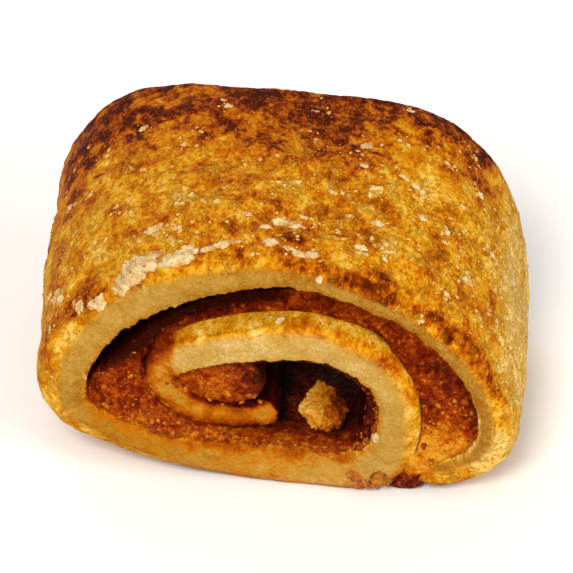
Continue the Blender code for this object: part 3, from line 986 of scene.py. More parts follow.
@dataclass
class Dough:
    """The sheet of dough, rolled up and baked, from the seam underneath to the tongue in the heart.

    Attributes:
        roll: the shared form.
        count: stations along the sheet.
        slab: columns round its cross-section.
        dense_turns, dense_weights: how densely the stations lie at each of these turns.
        edge_turns, edge_outer, edge_inner: radii of the cut edges there, as shares of the thickness.
        end_round: the turn over which the sheet thins towards its ends.
        end_share, end_tip: the share of its thickness that is left, and the turn that closes it.
        wrap_end, heart_turn: where the sheet leaves the outside of the roll, and where it is heart.
        folds_mm, patches_mm, creases_mm, leaves_mm, grit_mm: heights of the crust's relief.
        pores_mm, swell_mm, ragged_mm: the same for the cut faces and their torn edge.
        smooth_mm: the same for the hidden faces.
        scorches: brown streaks on top, as strength, X, reach in X, Y, reach in Y, and slope.
        verge_turns, verge_share: how far the cut face reaches across the sheet at each turn.
        crumb_turns, crumb_shade: how pale the cut face is at each turn.
        laid_turns, laid_share: how fast the crust's mottling runs along the sheet at each turn.
        laid_depth: how fast it runs along the roll.
        points, normals, turns: the finished grid, its unit normals, and the turn of each station.
        smeared: the stain on the cut faces of the heart.
    """

    roll: Roll
    count: int = 560
    slab: Slab = Slab(outer=112, inner=24, flat=6, outer_arc=8, inner_arc=4)
    dense_turns: tuple = (-80, -60, -12, 0, 190, 215, 300, 640, 655, 670)
    dense_weights: tuple = (1.2, 0.8, 0.9, 1.35, 1.35, 0.8, 0.9, 1.0, 1.6, 2.2)
    edge_turns: tuple = (-75, 0, 60, 110, 200, 280, 310, 350, 470, 665)
    edge_outer: tuple = (0.46, 0.56, 0.56, 0.42, 0.40, 0.40, 0.34, 0.40, 0.12, 0.14)
    edge_inner: tuple = (0.20, 0.22, 0.22, 0.22, 0.16, 0.12, 0.12, 0.16, 0.12, 0.12)
    end_round: float = 9.0
    end_share: float = 0.35
    end_tip: float = 2.5
    wrap_end: float = 285.0
    heart_turn: float = 440.0
    folds_mm: float = 0.40
    patches_mm: float = 0.10
    creases_mm: float = 0.12
    leaves_mm: float = 0.09
    grit_mm: float = 0.07
    pores_mm: float = 0.10
    swell_mm: float = 0.30
    ragged_mm: float = 0.46
    smooth_mm: float = 0.12
    scorches: tuple = (
        (0.45, 1.5, 1.3, -10.9, 0.7, 0.0), (0.42, 9.3, 2.1, -12.9, 0.55, 0.12),
        (0.30, 9.0, 3.2, 3.1, 0.35, 0.40),
    )
    verge_turns: tuple = (-75, -20, 20, 60, 95, 180, 215, 270, 310, 350, 410, 450, 520, 600, 665)
    verge_share: tuple = (0.30, 0.45, 0.55, 0.60, 0.84, 0.64, 0.72, 1.10, 0.90, 0.72, 0.74, 0.80, 0.90, 0.85,
                          0.7)
    crumb_turns: tuple = (-70, -30, 0, 45, 90, 140, 180, 215, 270, 340, 450, 515, 545, 600, 662)
    crumb_shade: tuple = (0.15, 0.16, 0.12, 0.12, 0.16, 0.34, 0.24, 0.14, 0.46, 0.46, 0.66, 0.63, 0.42, 0.34,
                          0.25)
    laid_turns: tuple = (-75, 60, 130, 170, 215, 665)
    laid_share: tuple = (1.0, 1.1, 0.95, 0.60, 0.8, 1.0)
    laid_depth: float = 0.66
    points: Array = field(init=False)
    normals: Array = field(init=False)
    turns: Array = field(init=False)
    smeared: Array = field(init=False)

    def end_profile(self, turns: Array) -> Array:
        """The thickness near the two ends: a quarter circle in, and another to nothing.

        Args:
            turns: turn angles.

        Returns:
            The share of the full thickness at each.
        """
        inwards = np.minimum(turns - self.roll.seam_turn, self.roll.tongue_turn - turns)
        inner = self.end_share + (1 - self.end_share) * np.sqrt(
            1 - (1 - np.clip(inwards / self.end_round, 0, 1)) ** 2)
        tip = np.sqrt(np.clip(1 - np.clip(-inwards / self.end_tip, 0, 0.999) ** 2, 0, 1))
        return inner * tip

    def build(self, finish: DoughFinish) -> Piece:
        """Works out the grid, raises its relief, and makes the piece.

        Args:
            finish: the dough's finish.

        Returns:
            The piece.
        """
        roll = self.roll
        turns = roll.stations(roll.seam_turn - self.end_tip, roll.tongue_turn + self.end_tip, self.count,
                              self.dense_turns, self.dense_weights)
        thickness = roll.thickness(turns) * self.end_profile(turns)
        outward = roll.outward(turns)
        inner = roll.middle(turns) - outward * thickness[:, None] / 2
        front, back = roll.ends(turns)
        outer_radius, inner_radius = (thickness * eased(turns, self.edge_turns, shares)
                                      for shares in (self.edge_outer, self.edge_inner))
        loop = self.slab.loop(front, back, thickness, outer_radius, inner_radius)
        grid, normals = roll.wrapped(inner, outward, loop, self.slab.outer)

        y, across = loop["y"], loop["across"]
        path = roll.travelled(turns)[:, None] / MM
        unrolled = np.stack([path + 0 * y, y / MM, across / MM], -1)
        turn = np.broadcast_to(turns[:, None], y.shape)
        deep = behind(y, front[:, None], back[:, None]) / MM
        site = Site(turn, across / thickness[:, None], unrolled, grid / MM, loop["cut"], deep)
        fields = {**self.browned(site), **self.bared(site), **self.stained_and_shaded(site)}
        grid = grid + normals * (self.relief(site, fields) * MM)[..., None]
        grid[..., 2] = np.maximum(grid[..., 2], 0.0)
        self.points, self.normals, self.turns = grid, normals, turns
        self.smeared = np.where((site.turn > self.heart_turn) & (site.cut > 0.3), fields["stain"], 0.0)
        stretch = eased(turns, self.laid_turns, self.laid_share)
        way = np.cumsum(np.gradient(path[:, 0]) * stretch)[:, None]
        fields["unrolled"] = unrolled
        fields["laid"] = np.stack([way + 0 * y, unrolled[..., 1] * self.laid_depth, unrolled[..., 2]], -1)
        return Skin.rolled(grid, fields).make("dough_sheet", finish.material(), "crust_gold", "dough")

    def relief(self, site: Site, fields: dict[str, Array]) -> Array:
        """How far each point stands out of the smooth sheet, in millimetres.

        The crust has broad folds drawn out round the roll, raised pale patches, sunk brown creases,
        thin leaves whose height is noise rounded to steps, and fine grit. The cut faces swell
        softly, with pores where scattered seeds are near and a torn inner edge. The hidden faces
        are softly uneven. All of it fades to a quarter towards the floor.

        Args:
            site: where the points lie.
            fields: what is painted there.

        Returns:
            Heights as (station, column).
        """
        turn, share, unrolled, cut = site.turn, site.share, site.unrolled, site.cut
        outer = smooth_step(0.35, 0.75, share) * smooth_step(self.wrap_end + 12, self.wrap_end - 18, turn)
        folds = Grain(11).layered(site.spot / np.array([7.0, 4.6, 5.0]), 3) * self.folds_mm
        steps = Grain(13).layered(unrolled / np.array([3.6, 2.4, 9.0]), 3) * 4.5
        level = np.floor(steps)
        leaves = (level + smooth_step(0.40, 0.60, steps - level) - steps) * self.leaves_mm
        grit = Grain(14).layered(unrolled / 0.75, 2) * self.grit_mm
        patches = fields["flake"] * self.patches_mm - fields["crease"] * self.creases_mm
        crust = outer * (folds + (1 - cut * 0.7) * (patches + leaves + grit))
        near, _ = Grain(15).nearest(unrolled / 0.55)
        pores = -smooth_step(0.45, 0.10, near) * self.pores_mm
        swell = Grain(16).layered(unrolled / np.array([3.4, 6.0, 2.2]), 3) * self.swell_mm
        face = cut * (pores + swell)
        torn = Grain(18).layered(unrolled / np.array([1.1, 3.0, 1.4]), 4, 0.62) * self.ragged_mm
        edge = (hump(0.05, 0.16, share) + hump(0.95, 0.16, share) * smooth_step(430, 490, turn)) * torn
        edge = edge * smooth_step(0.1, 0.6, cut)
        inside = (1 - cut) * smooth_step(0.4, 0.0, share)
        inside = inside * Grain(19).layered(unrolled / 1.6, 3) * self.smooth_mm
        heart = (1 - cut) * smooth_step(0.6, 1.0, share) * smooth_step(285, 310, turn)
        heart = heart * Grain(20).layered(unrolled / 1.5, 3) * self.smooth_mm
        lift = smooth_step(0.0, 3.0, site.spot[..., 2])
        return (crust + face + edge + inside + heart) * (0.25 + 0.75 * lift)

    def bent(self, site: Site) -> Array:
        """The unrolled path, Y and depth, bent by soft noise so that marks don't run straight."""
        bend = np.stack([Grain(27 + k).soft(site.unrolled / 2.6) for k in range(3)], -1) * 0.7
        return (site.unrolled + bend) * np.array([1.0, self.laid_depth, 1.0])

    def blotch(self, site: Site) -> Array:
        """Uneven browning in patches of about two millimetres, by noise on the bent sheet."""
        return Grain(22).layered(self.bent(site) / np.array([2.3, 1.7, 4.0]), 3)

    def browned(self, site: Site) -> dict[str, Array]:
        """Where the crust is browned and flaked.

        Noise mottles it. The back of the top and the foot are browner, the back of the top partly as a
        painted shadow. The upper right edge is paler, partly as a painted highlight, and the lower right
        is lightened as painted light, where it faces away from the key lamp. Streaks are scorched, and
        thin lines run along the cut edges.

        Args:
            site: where the points lie.

        Returns:
            The tone, 0 pale to 1 burnt, and flake and crease, which the relief shares.
        """
        turn, deep, bent, blotch = site.turn, site.deep, self.bent(site), self.blotch(site)
        x, y, z = (site.spot[..., k] for k in range(3))
        wrap = smooth_step(self.wrap_end, self.wrap_end - 20, turn)
        mottle = Grain(21).layered(site.spot / np.array([6.0, 6.0, 5.0]), 3)
        flake = smooth_step(0.04, 0.34, Grain(25).layered(bent / np.array([1.9, 1.3, 3.0]), 3)
                            + 0.25 * Grain(26).soft(site.spot / 5.0)) * wrap
        crease = smooth_step(0.86, 0.98, Grain(12).ridged(bent / np.array([3.4, 1.8, 4.0]), 2))
        top = smooth_step(14, 20, z)
        # Browner at the back of the top: partly real browning, partly a painted shadow.
        baked = smooth_step(0.0, 10.5, y - 0.10 * x) * top
        # The upper right edge: partly paler crust, partly a painted highlight.
        pale_and_lit_edge = smooth_step(18.8, 20.4, x) * hump(14.0, 5.5, z) * hump(-3, 9, y)

        tone = 0.44 + 0.24 * mottle + 0.34 * blotch + 0.38 * baked
        tone -= 0.66 * pale_and_lit_edge + 0.13 * smooth_step(285, 310, turn)
        # Painted light: the lower right, which faces away from the key lamp, is lightened.
        tone -= 0.46 * smooth_step(13, 17, x) * hump(6.0, 4.5, z)
        tone += 0.12 * hump(1, 9, x) * top + 0.08 * smooth_step(7, 10, x) * smooth_step(290, 310, turn)
        tone += 0.06 * smooth_step(-16, -20, x)
        tone += 0.22 * smooth_step(1, 8, x) * smooth_step(2.2, 0.4, deep) * smooth_step(8, 14, z)
        tone += 0.30 * smooth_step(2.0, 0.2, z)
        for strength, mid_x, reach_x, mid_y, reach_y, slope in self.scorches:
            tone += strength * hump(mid_x, reach_x, x) * hump(mid_y, reach_y, y + slope * (x - mid_x)) * top
        skin = smooth_step(0.55, 0.95, site.share) * wrap * smooth_step(4, 9, z)
        wave = deep + 0.35 * Grain(24).soft(site.spot / 1.8)
        tone += skin * 0.16 * hump(1.9, 0.7, wave) * smooth_step(6, -8, x)
        tone += skin * 0.30 * hump(1.05, 0.20, wave) * smooth_step(-0.25, 0.25, blotch + mottle)
        tone += skin * 0.20 * hump(0.2, 1.0, wave) * smooth_step(-2, 6, x)

        # The painted shadow at the back thins the pale flakes; the painted highlight on the right edge adds
        # some.
        flake = flake * (1 - 0.85 * baked) * (1 - skin * hump(1.2, 0.9, deep)) + 0.6 * pale_and_lit_edge
        flake -= 0.5 * baked + 0.6 * smooth_step(270, 290, turn) + 0.2 * smooth_step(-3, 5, y) * top
        return {"tone": np.clip(tone, 0, 0.86), "flake": np.clip(flake, -0.5, 1), "crease": crease}

    def bared(self, site: Site) -> dict[str, Array]:
        """Where the crumb shows: on the cut faces, up to a frayed verge below the crust.

        Args:
            site: where the points lie.

        Returns:
            The cut, 1 where the crumb is bare, and the crumb's shade, 0 dark to 1 light.
        """
        turn, share = site.turn, site.share
        frayed = 0.16 * Grain(23).layered(site.unrolled / 1.1, 3)
        blur = 0.09 + 0.13 * smooth_step(300, 340, turn)
        verge = eased(turn, self.verge_turns, self.verge_share)
        over = np.clip((share - verge + 0.5 * frayed + blur) / (2 * blur), 0, 1)
        sawn = smooth_step(0.74, 0.97, site.cut + frayed) * (1 - over * over * (3 - 2 * over))
        crumb = eased(turn, self.crumb_turns, self.crumb_shade)
        crumb = crumb + 0.12 * hump(0.45, 0.22, share) * smooth_step(215, 190, turn) - 0.06
        under_heart = hump(2.0, 5.0, site.spot[..., 0]) * smooth_step(5, 2, site.spot[..., 2])
        crumb = crumb + 0.40 * hump(0.95, 0.3, share) * under_heart
        crumb = crumb + 0.30 * Grain(35).layered(site.spot / np.array([2.6, 2.0, 1.5]), 3)
        return {"cut": sawn, "crumb": np.clip(crumb, 0, 1)}

    def stained_and_shaded(self, site: Site) -> dict[str, Array]:
        """Where the filling stains the dough: inside, in the heart, in the lower layer and at the seam.

        The same value also carries painted shade on the inner faces and the heart's outer faces,
        darker the further they lie behind the cut faces.

        Args:
            site: where the points lie.

        Returns:
            The staining with its painted shade, 0 to 1.35.
        """
        turn, share, cut, deep = site.turn, site.share, site.cut, site.deep
        x, y, z = (site.spot[..., k] for k in range(3))
        soak = Grain(20).layered(site.spot / 2.4, 3)
        # Inner faces: stained by the filling, and darker further behind the cut face as painted shade.
        inside = smooth_step(0.30, 0.02, share) * smooth_step(0.40, 0.05, cut)
        stain = inside * (0.85 + 0.35 * smooth_step(1.5, 6.0, deep))
        # The heart's outer faces: painted shade that deepens behind the cut faces, over a little staining.
        heart = smooth_step(278, 300, turn) * smooth_step(0.5, 0.95, share) * smooth_step(0.95, 0.55, cut)
        shade = 0.45 * smooth_step(1.2, 2.8, deep) + 0.35 * smooth_step(2.8, 4.6, deep)
        stain += heart * (0.02 + shade + 0.35 * smooth_step(4.6, 7.0, deep))

        lobe = smooth_step(-8.0, -9.2, x + 0.6 * self.blotch(site)) * smooth_step(440, 500, turn)
        tongue = smooth_step(560, 590, turn)
        rand = hump(0.0, 0.24, share) + hump(1.0, 0.24, share)
        grime = Grain(33).layered(site.unrolled / 0.7, 3)
        heart_end = np.maximum(lobe, tongue)
        stain += heart_end * (0.32 + 0.60 * soak + 0.50 * rand + 0.30 * grime) + 0.10 * tongue

        lower = smooth_step(185, 215, turn) * smooth_step(310, 275, turn)
        streak = Grain(34).layered(site.spot / np.array([3.6, 2.0, 0.9]), 3)
        cloud = 0.18 + 0.10 * hump(-2, 6, x)
        stain += cut * lower * (cloud + 0.45 * np.clip(soak, 0, 1) + 0.4 * np.clip(streak, 0, 1))
        under_inner = smooth_step(165, 200, turn) * smooth_step(320, 280, turn)
        stain += cut * 0.42 * hump(0.0, 0.20, share) * under_inner
        stain += cut * 0.20 * np.clip(soak - 0.15, 0, 1)
        rim = hump(0.0, 0.17, share) * smooth_step(40, 70, turn) * (1 - lower)
        stain += cut * rim * (0.30 + 0.40 * soak)

        seam = smooth_step(-15, -45, turn)
        stain += seam * smooth_step(0.2, 0.8, cut) * (0.22 + 0.55 * soak)
        top = smooth_step(14, 20, z)
        slit = hump(-17.1, 0.60, x + 0.35 * (y - 3.3)) * hump(3.3, 0.28, y + 0.25 * (x + 17.1)) * top
        sticky = hump(11.6, 1.7, x) * hump(1.3, 1.3, z) * smooth_step(-11.5, -13.5, y)
        stain += 1.3 * slit + 1.25 * sticky * smooth_step(-0.35, 0.1, soak + 0.1)
        return {"stain": np.clip(stain, 0, 1.35)}


@dataclass
class Filling:
    """The paste between the turns, with its ropes in the pocket and in the seam.

    Attributes:
        roll: the shared form.
        count, slab: stations along the spread paste, and columns round its cross-section.
        start, end: its first and last turn.
        thickness_turns, thickness_mm: its thickness at each of these turns.
        air_turns: between the middle two it clings to the inner turn, with air under the wrap.
        overlap_mm: how far it reaches into the dough on either side.
        least: what is added to its thickness everywhere, in metres.
        recess_turns, recess_mm: how far its cut faces lie behind the dough's.
        climb_mm, climb_share: how far out it clings to the dough, and by what share of its recess.
        ropes_mm: for each rope its middle, its radii, both as X and Z, and its front and back end.
        rope_power: squareness of a rope's section; 2 is an ellipse.
        rope_slim, rope_lean: how much it slims to its ends, and how far its front leans back downwards.
        around, rings: columns round a rope, and rows along it.
        lumps_mm, soft_mm: heights of its lumps and of the uneven base under them.
        points, normals: the finished grid of the spread paste, and its unit normals.
        floor_turns, floor_mm: where the floor of the hollow is, and how deep one sees into it.
        open: how open it lies, 1 on its cut faces and 0.5 on the floor of the hollow.
    """

    roll: Roll
    count: int = 430
    slab: Slab = Slab(outer=26, inner=26, flat=30, outer_arc=6, inner_arc=6)
    start: float = -44.0
    end: float = 512.0
    thickness_turns: tuple = (-52, -40, -25, 0, 25, 50, 75, 110, 140, 155, 165, 178, 190, 215, 240, 262, 290,
                              320, 345, 380, 440, 480, 515)
    thickness_mm: tuple = (4.0, 4.0, 4.6, 8.0, 6.0, 2.1, 1.3, 1.1, 1.2, 1.8, 2.8, 5.6, 8.0, 4.6, 2.4, 1.2,
                           0.9, 0.9, 0.8, 0.6, 0.6, 1.0, 1.2)
    air_turns: tuple = (35, 70, 160, 187)
    overlap_mm: float = 0.06
    least: float = 0.0006
    recess_turns: tuple = (-50, -30, 0, 60, 130, 170, 200, 250, 300, 515)
    recess_mm: tuple = (0.0, 0.2, 0.6, 2.0, 2.4, 0.8, 0.1, 0.05, 0.4, 1.2)
    ropes_mm: tuple = (
        ((-4.9, 11.0), (4.4, 2.95), -14.2, 12.6),
        ((11.5, 1.45), (1.9, 1.40), -13.7, 13.3),
        ((12.75, 3.0), (1.2, 1.7), -14.25, 13.1),
    )
    rope_power: float = 2.5
    rope_slim: float = 0.03
    rope_lean: float = 0.12
    around: int = 72
    rings: int = 150
    lumps_mm: float = 0.30
    soft_mm: float = 0.34
    climb_mm: float = 0.8
    climb_share: float = 0.62
    floor_turns: tuple[float, float] = (236, 352)
    floor_mm: float = 6.5
    points: Array = field(init=False)
    normals: Array = field(init=False)
    open: Array = field(init=False)

    def rough(self, grid: Array, normals: Array, amount: float) -> Array:
        """Raises lumps where scattered seeds are near, over a soft uneven base.

        Args:
            grid: points as (row, column, XYZ).
            normals: the way out at each, longer where it is rougher.
            amount: the lumps' height in millimetres.

        Returns:
            The raised points.
        """
        near, name = Grain(31).nearest(grid / MM / 0.95)
        lumps = smooth_step(0.60, 0.05, near) * (0.4 + 0.6 * name)
        soft = Grain(32).layered(grid / MM / 2.0, 4, 0.6)
        height = (lumps - 0.35) * amount + soft * self.soft_mm
        lift = smooth_step(0.0, 1.0, grid[..., 2] / MM)
        return grid + normals * (height * lift * MM)[..., None]

    def climbed(self, loop: dict[str, Array], thickness: Array, recess: Array, airy: Array) -> Array:
        """Draws the paste's cut faces out along the dough that they cling to.

        With d as the distance from the dough, the face comes forward by the climbing share of its
        recess times (1 - d / climb)^2. On the side of the wrap it doesn't, where there is air.

        Args:
            loop: the slab's section.
            thickness: the paste's thickness at each station.
            recess: how far its face lies behind the dough's.
            airy: 1 where air parts the paste from the wrap.

        Returns:
            The section's places along Y.
        """
        reach = self.climb_mm * MM
        below = np.clip(1 - loop["across"] / reach, 0, 1) ** 2
        above = np.clip(1 - (thickness[:, None] - loop["across"]) / reach, 0, 1) ** 2
        pull = np.maximum(below, above * (1 - airy)[:, None]) * loop["cut"]
        return loop["y"] + np.sign(loop["y"]) * pull * (recess * self.climb_share)[:, None]

    def sheet(self) -> Skin:
        """The spread paste: its thickness follows the room between two turns of dough.

        At each station the room is measured along a spoke, from the inner face of one turn to the
        outer face of the next one in, a whole turn further on.

        Returns:
            The closed sheet.
        """
        roll = self.roll
        turns = roll.stations(self.start, self.end, self.count, (self.start, self.end), (1, 1))
        under = roll.face(turns, -1)
        after = np.minimum(turns + 4 * roll.quarter, roll.tongue_turn)
        spoke = roll.face(after, 1) - under
        room = np.linalg.norm(spoke, axis=1)
        spoke = spoke / room[:, None]
        clear = room + 2 * self.overlap_mm * MM
        wanted = eased(turns, self.thickness_turns, self.thickness_mm) * MM + self.least
        thickness = np.minimum(wanted, clear)
        rise = eased(turns, self.air_turns[:2], (0, 1)) - eased(turns, self.air_turns[2:], (0, 1))
        sag = np.clip(rise, 0, 1)
        inner = under + spoke * (-self.overlap_mm * MM + sag * (clear - thickness) + thickness)[:, None]
        recess = eased(turns, self.recess_turns, self.recess_mm) * MM
        front, back = roll.ends(turns, recess)
        airy = smooth_step(45, 75, turns) * smooth_step(186, 170, turns)
        radius = np.minimum(thickness * 0.12, 0.0002)
        bare = smooth_step(300, 330, turns)
        loop = self.slab.loop(front, back, thickness, radius, radius + bare * (thickness * 0.8 - radius))
        loop["y"] = self.climbed(loop, thickness, recess, airy)
        grid, normals = roll.wrapped(inner, -spoke, loop, self.slab.outer)
        grid = self.rough(grid, normals * (0.25 + 0.75 * loop["cut"])[..., None], self.lumps_mm)

        share = loop["across"] / thickness[:, None]
        deep = behind(loop["y"], front[:, None], back[:, None]) / MM
        turn = turns[:, None]
        self.points, self.normals = grid, normals
        self.open = np.where(loop["cut"] > 0.3, 1.0, 0.0)
        first, last = self.floor_turns
        floor = (turn > first) & (turn < last) & (deep < self.floor_mm) & (loop["cut"] < 0.3)
        self.open += np.where(floor & (share < 0.3), 0.5, 0.0)
        return Skin.rolled(grid, {"depth": self.darkened(turn, share, deep, grid[..., 2] / MM)})

    def darkened(self, turn: Array, share: Array, deep: Array, z: Array) -> Array:
        """How dark the spread paste is, with painted shade: darker inside, in the hollow, high up under the
        wrap on the left and in a crescent under the wrap at the top; paler low at both sides.

        Args:
            turn: turn angle.
            share: place across the paste, 0 on its inner face to 1 on its outer.
            deep: how far it lies behind the nearer cut face, in millimetres.
            z: its height in millimetres.

        Returns:
            The depth of its colour, 0 pale to 1 dark.
        """
        top = smooth_step(35, 70, turn) * smooth_step(172, 150, turn)
        left = smooth_step(145, 165, turn) * smooth_step(300, 240, turn)
        right = smooth_step(45, 20, turn)
        # Painted shade: darker the further behind the cut face it lies.
        depth = 0.64 + 0.30 * smooth_step(0.4, 4.0, deep) - 0.02 * top
        # On the left: painted shade high up under the wrap's rim, and paler low down.
        depth = depth + left * (0.22 * smooth_step(9.5, 13.5, z) - 0.26 * smooth_step(8.5, 4.5, z))
        depth += right * (0.22 * hump(1.0, 0.22, share) - 0.70 * smooth_step(9.5, 4.5, z))
        # Painted shade in the hollow of the heart.
        depth += 0.30 * smooth_step(305, 340, turn)
        # Painted shade: the dark crescent under the wrap at the top.
        return depth + 0.60 * smooth_step(0.10, 0.60, share) * smooth_step(88, 104, turn) * smooth_step(
            174, 162, turn)

    def rope(self, centre: tuple, radii: tuple, front: float, back: float) -> Skin:
        """A rope along the roll: a superellipse that slims as the sixth power towards its ends.

        Its front end leans back downwards, by the lean times the height below its middle.

        Args:
            centre: its middle, X and Z in millimetres.
            radii: half its width and half its height.
            front, back: its ends along Y.

        Returns:
            The closed rope.
        """
        angles = ring(self.around)
        share = np.sin(np.linspace(-math.pi / 2, math.pi / 2, self.rings))[:, None]
        shut = np.sqrt(np.clip(1 - np.abs(share) ** 130, 0.001, 1))
        slim = (1 - self.rope_slim * np.abs(share) ** 6) * shut
        x, z = (middle + radius * np.sign(side) * np.abs(side) ** (2 / self.rope_power) * slim
                for middle, radius, side in zip(centre, radii, (np.cos(angles), np.sin(angles))))
        y = (front + back) / 2 + share * (back - front) / 2
        y = y + self.rope_lean * np.minimum(share, 0) * (z - centre[1])
        grid = self.roll.baked(np.stack([x, y, z], -1) * MM)
        out = np.stack([np.cos(angles), 0 * angles, np.sin(angles)], -1)
        grid = self.rough(grid, grid_normals(grid, out), self.lumps_mm * 1.3)
        grid[..., 2] = np.maximum(grid[..., 2], 0.0)
        sunk = smooth_step(2.9, 1.9, z)
        seam = smooth_step(8.0, 10.0, x) * (1 - sunk)
        # Painted shade: darker high up, towards the hollow on its right.
        dark = smooth_step(-4.5, 0.0, x) * smooth_step(8.0, 11.5, z)
        # Painted shade: darker the further behind its ends.
        depth = 0.48 + 0.5 * smooth_step(0.6, 5.0, behind(y, front, back))
        depth += 0.30 * sunk + 0.50 * dark - 0.42 * seam
        return Skin.rolled(grid, {"depth": depth})

    def build(self, finish: FillingFinish) -> Piece:
        """Joins the spread paste and its ropes in one piece."""
        skins = [self.sheet()] + [self.rope(*rope) for rope in self.ropes_mm]
        return Skin.joined(skins).make("filling_paste", finish.material(), "filling_brown", "filling")


@dataclass
class Nut:
    """A broken lump of nut: split along flat breaks, with a rough skin.

    Attributes:
        centre_mm, size_mm: its middle, and how far it is drawn out along X, Y and Z.
        rings, around: rows and columns of its grid.
        breaks, away: how many flat breaks it has, and the least and most they lie from its middle.
        seed: its random draws.
    """

    centre_mm: tuple = (4.02, -11.85, 7.7)
    size_mm: tuple = (4.8, 4.9, 5.0)
    rings: int = 110
    around: int = 150
    breaks: int = 15
    away: tuple[float, float] = (0.26, 0.44)
    seed: int = 21

    def build(self, finish: NutFinish) -> Piece:
        """The radius in each direction w is the least d / (w.n) of the breaks that the ray meets.

        Each break is a plane with the unit normal n at the distance d from the middle. Noise
        roughens the whole.

        Args:
            finish: the nut's finish.

        Returns:
            The piece.
        """
        lift = np.linspace(-math.pi / 2 + 0.02, math.pi / 2 - 0.02, self.rings)[:, None]
        turn = ring(self.around)
        flat = np.cos(lift)
        ways = np.stack([flat * np.cos(turn), flat * np.sin(turn), np.sin(lift) + 0 * turn], -1)
        draws = np.random.RandomState(self.seed)
        facing = draws.normal(size=(self.breaks, 3))
        facing /= np.linalg.norm(facing, axis=1, keepdims=True)
        away = draws.uniform(*self.away, self.breaks)
        radius = np.minimum((away / np.maximum(ways @ facing.T, 0.05)).min(axis=-1), 0.56)
        radius *= 0.50 / radius.max()
        radius *= 1 + 0.46 * Grain(42).layered(ways * 2.2, 4, 0.62)
        grid = ways * radius[..., None] * np.array(self.size_mm) + np.array(self.centre_mm)
        # Painted light and shade: lighter to the upper left and where it bulges, darker to the lower right.
        shade = 0.43 - 0.34 * ways[..., 0] + 0.26 * ways[..., 2] + 1.5 * (radius - radius.mean())
        return Skin.rolled(grid * MM, {"shade": shade}).make("nut_lump", finish.material(), "nut_tan", "nut")


class Pebbles:
    """Small uneven bodies, laid on a surface by the hundred."""

    @staticmethod
    def pebble() -> tuple[Array, Array]:
        """A round body of 20 faces whose corners lie on the unit sphere, by the golden ratio.

        Returns:
            Its corners, and the three corner numbers of each face.
        """
        golden = (1 + math.sqrt(5)) / 2
        corners = []
        for one in (-1, 1):
            for other in (-golden, golden):
                corners += [(0, one, other), (one, other, 0), (other, 0, one)]
        points = np.array(corners, float)
        gaps = np.linalg.norm(points[:, None] - points[None], axis=-1)
        close = np.isclose(gaps, 2.0, atol=1e-6)
        faces = np.array([face for face in combinations(range(len(points)), 3)
                          if all(close[pair] for pair in combinations(face, 2))])
        a, b, c = (points[faces[:, k]] for k in range(3))
        wrong = np.sum(np.cross(b - a, c - a) * (a + b + c), axis=1) < 0
        faces[wrong] = faces[wrong][:, ::-1]
        return points / np.linalg.norm(points[0]), faces

    @staticmethod
    def sizes(size_mm: tuple, power: float, long: float, count: int, draws: np.random.RandomState) -> Array:
        """Length, width and height of each pebble in metres, least + more u^power wide for a random u."""
        wide = (size_mm[0] + size_mm[1] * draws.uniform(size=count) ** power) * MM
        return np.stack([wide * draws.uniform(1.0, long, count), wide, wide * 0.5], -1)

    def strewn(self, centres: Array, ups: Array, sizes: Array, draws: np.random.RandomState) -> Skin:
        """Lays one uneven pebble at each centre.

        Args:
            centres: XYZ rows.
            ups: unit rows, the way out of the surface.
            sizes: length, width and height of each.
            draws: the source of their unevenness.

        Returns:
            All of them as one skin.
        """
        points, faces = self.pebble()
        count = len(centres)
        side = np.cross(ups, draws.normal(size=(count, 3)))
        side /= np.linalg.norm(side, axis=1, keepdims=True)
        axes = np.stack([side, np.cross(ups, side), ups], 1)
        swell = 1 + draws.uniform(-0.28, 0.28, (count, len(points), 1))
        local = points[None] * swell * sizes[:, None, :] / 2
        placed = np.einsum("npk,nkx->npx", local, axes) + centres[:, None]
        numbers = faces[None] + (np.arange(count) * len(points))[:, None, None]
        return Skin(placed.reshape(-1, 3), np.zeros((0, 4), int), numbers.reshape(-1, 3))


@dataclass
class Granules(Pebbles):
    """Grains of sugar and spice that stand out of the paste on its open faces.

    Attributes:
        filling: the paste that they stick in.
        dough: the sheet, on whose smeared heart they stick too.
        kinds: for each kind its name, lighter and darker colour, count, and sizes in millimetres.
        seed: their random draws.
    """

    filling: Filling
    dough: Dough
    kinds: tuple = (
        ("grain_gold", linear(196, 118, 20), linear(160, 78, 7), 320, (0.20, 0.34)),
        ("grain_brown", linear(158, 72, 4), linear(120, 42, 2), 420, (0.24, 0.50)),
    )
    seed: int = 12

    def build(self) -> list[Piece]:
        """Lays each kind where the paste lies open, more of it low down.

        Returns:
            One piece for each kind.
        """
        draws = np.random.RandomState(self.seed)
        paste, sheet = self.filling, self.dough
        points = np.concatenate([paste.points.reshape(-1, 3), sheet.points.reshape(-1, 3)])
        ways = np.concatenate([paste.normals.reshape(-1, 3), sheet.normals.reshape(-1, 3)])
        low = smooth_step(13.0, 8.5, points[:, 2] / MM)
        chance = np.concatenate([paste.open.ravel(), 0.7 * sheet.smeared.ravel()]) * low
        made = []
        for name, light, shade, count, size_mm in self.kinds:
            kept = draws.choice(len(points), count, p=chance / chance.sum())
            sizes = self.sizes(size_mm, 2, 1.7, count, draws)
            skin = self.strewn(points[kept], ways[kept], sizes, draws)
            made.append(skin.make(name, SugarFinish(name, light, shade, 0.6, 0.12).material()))
        return made


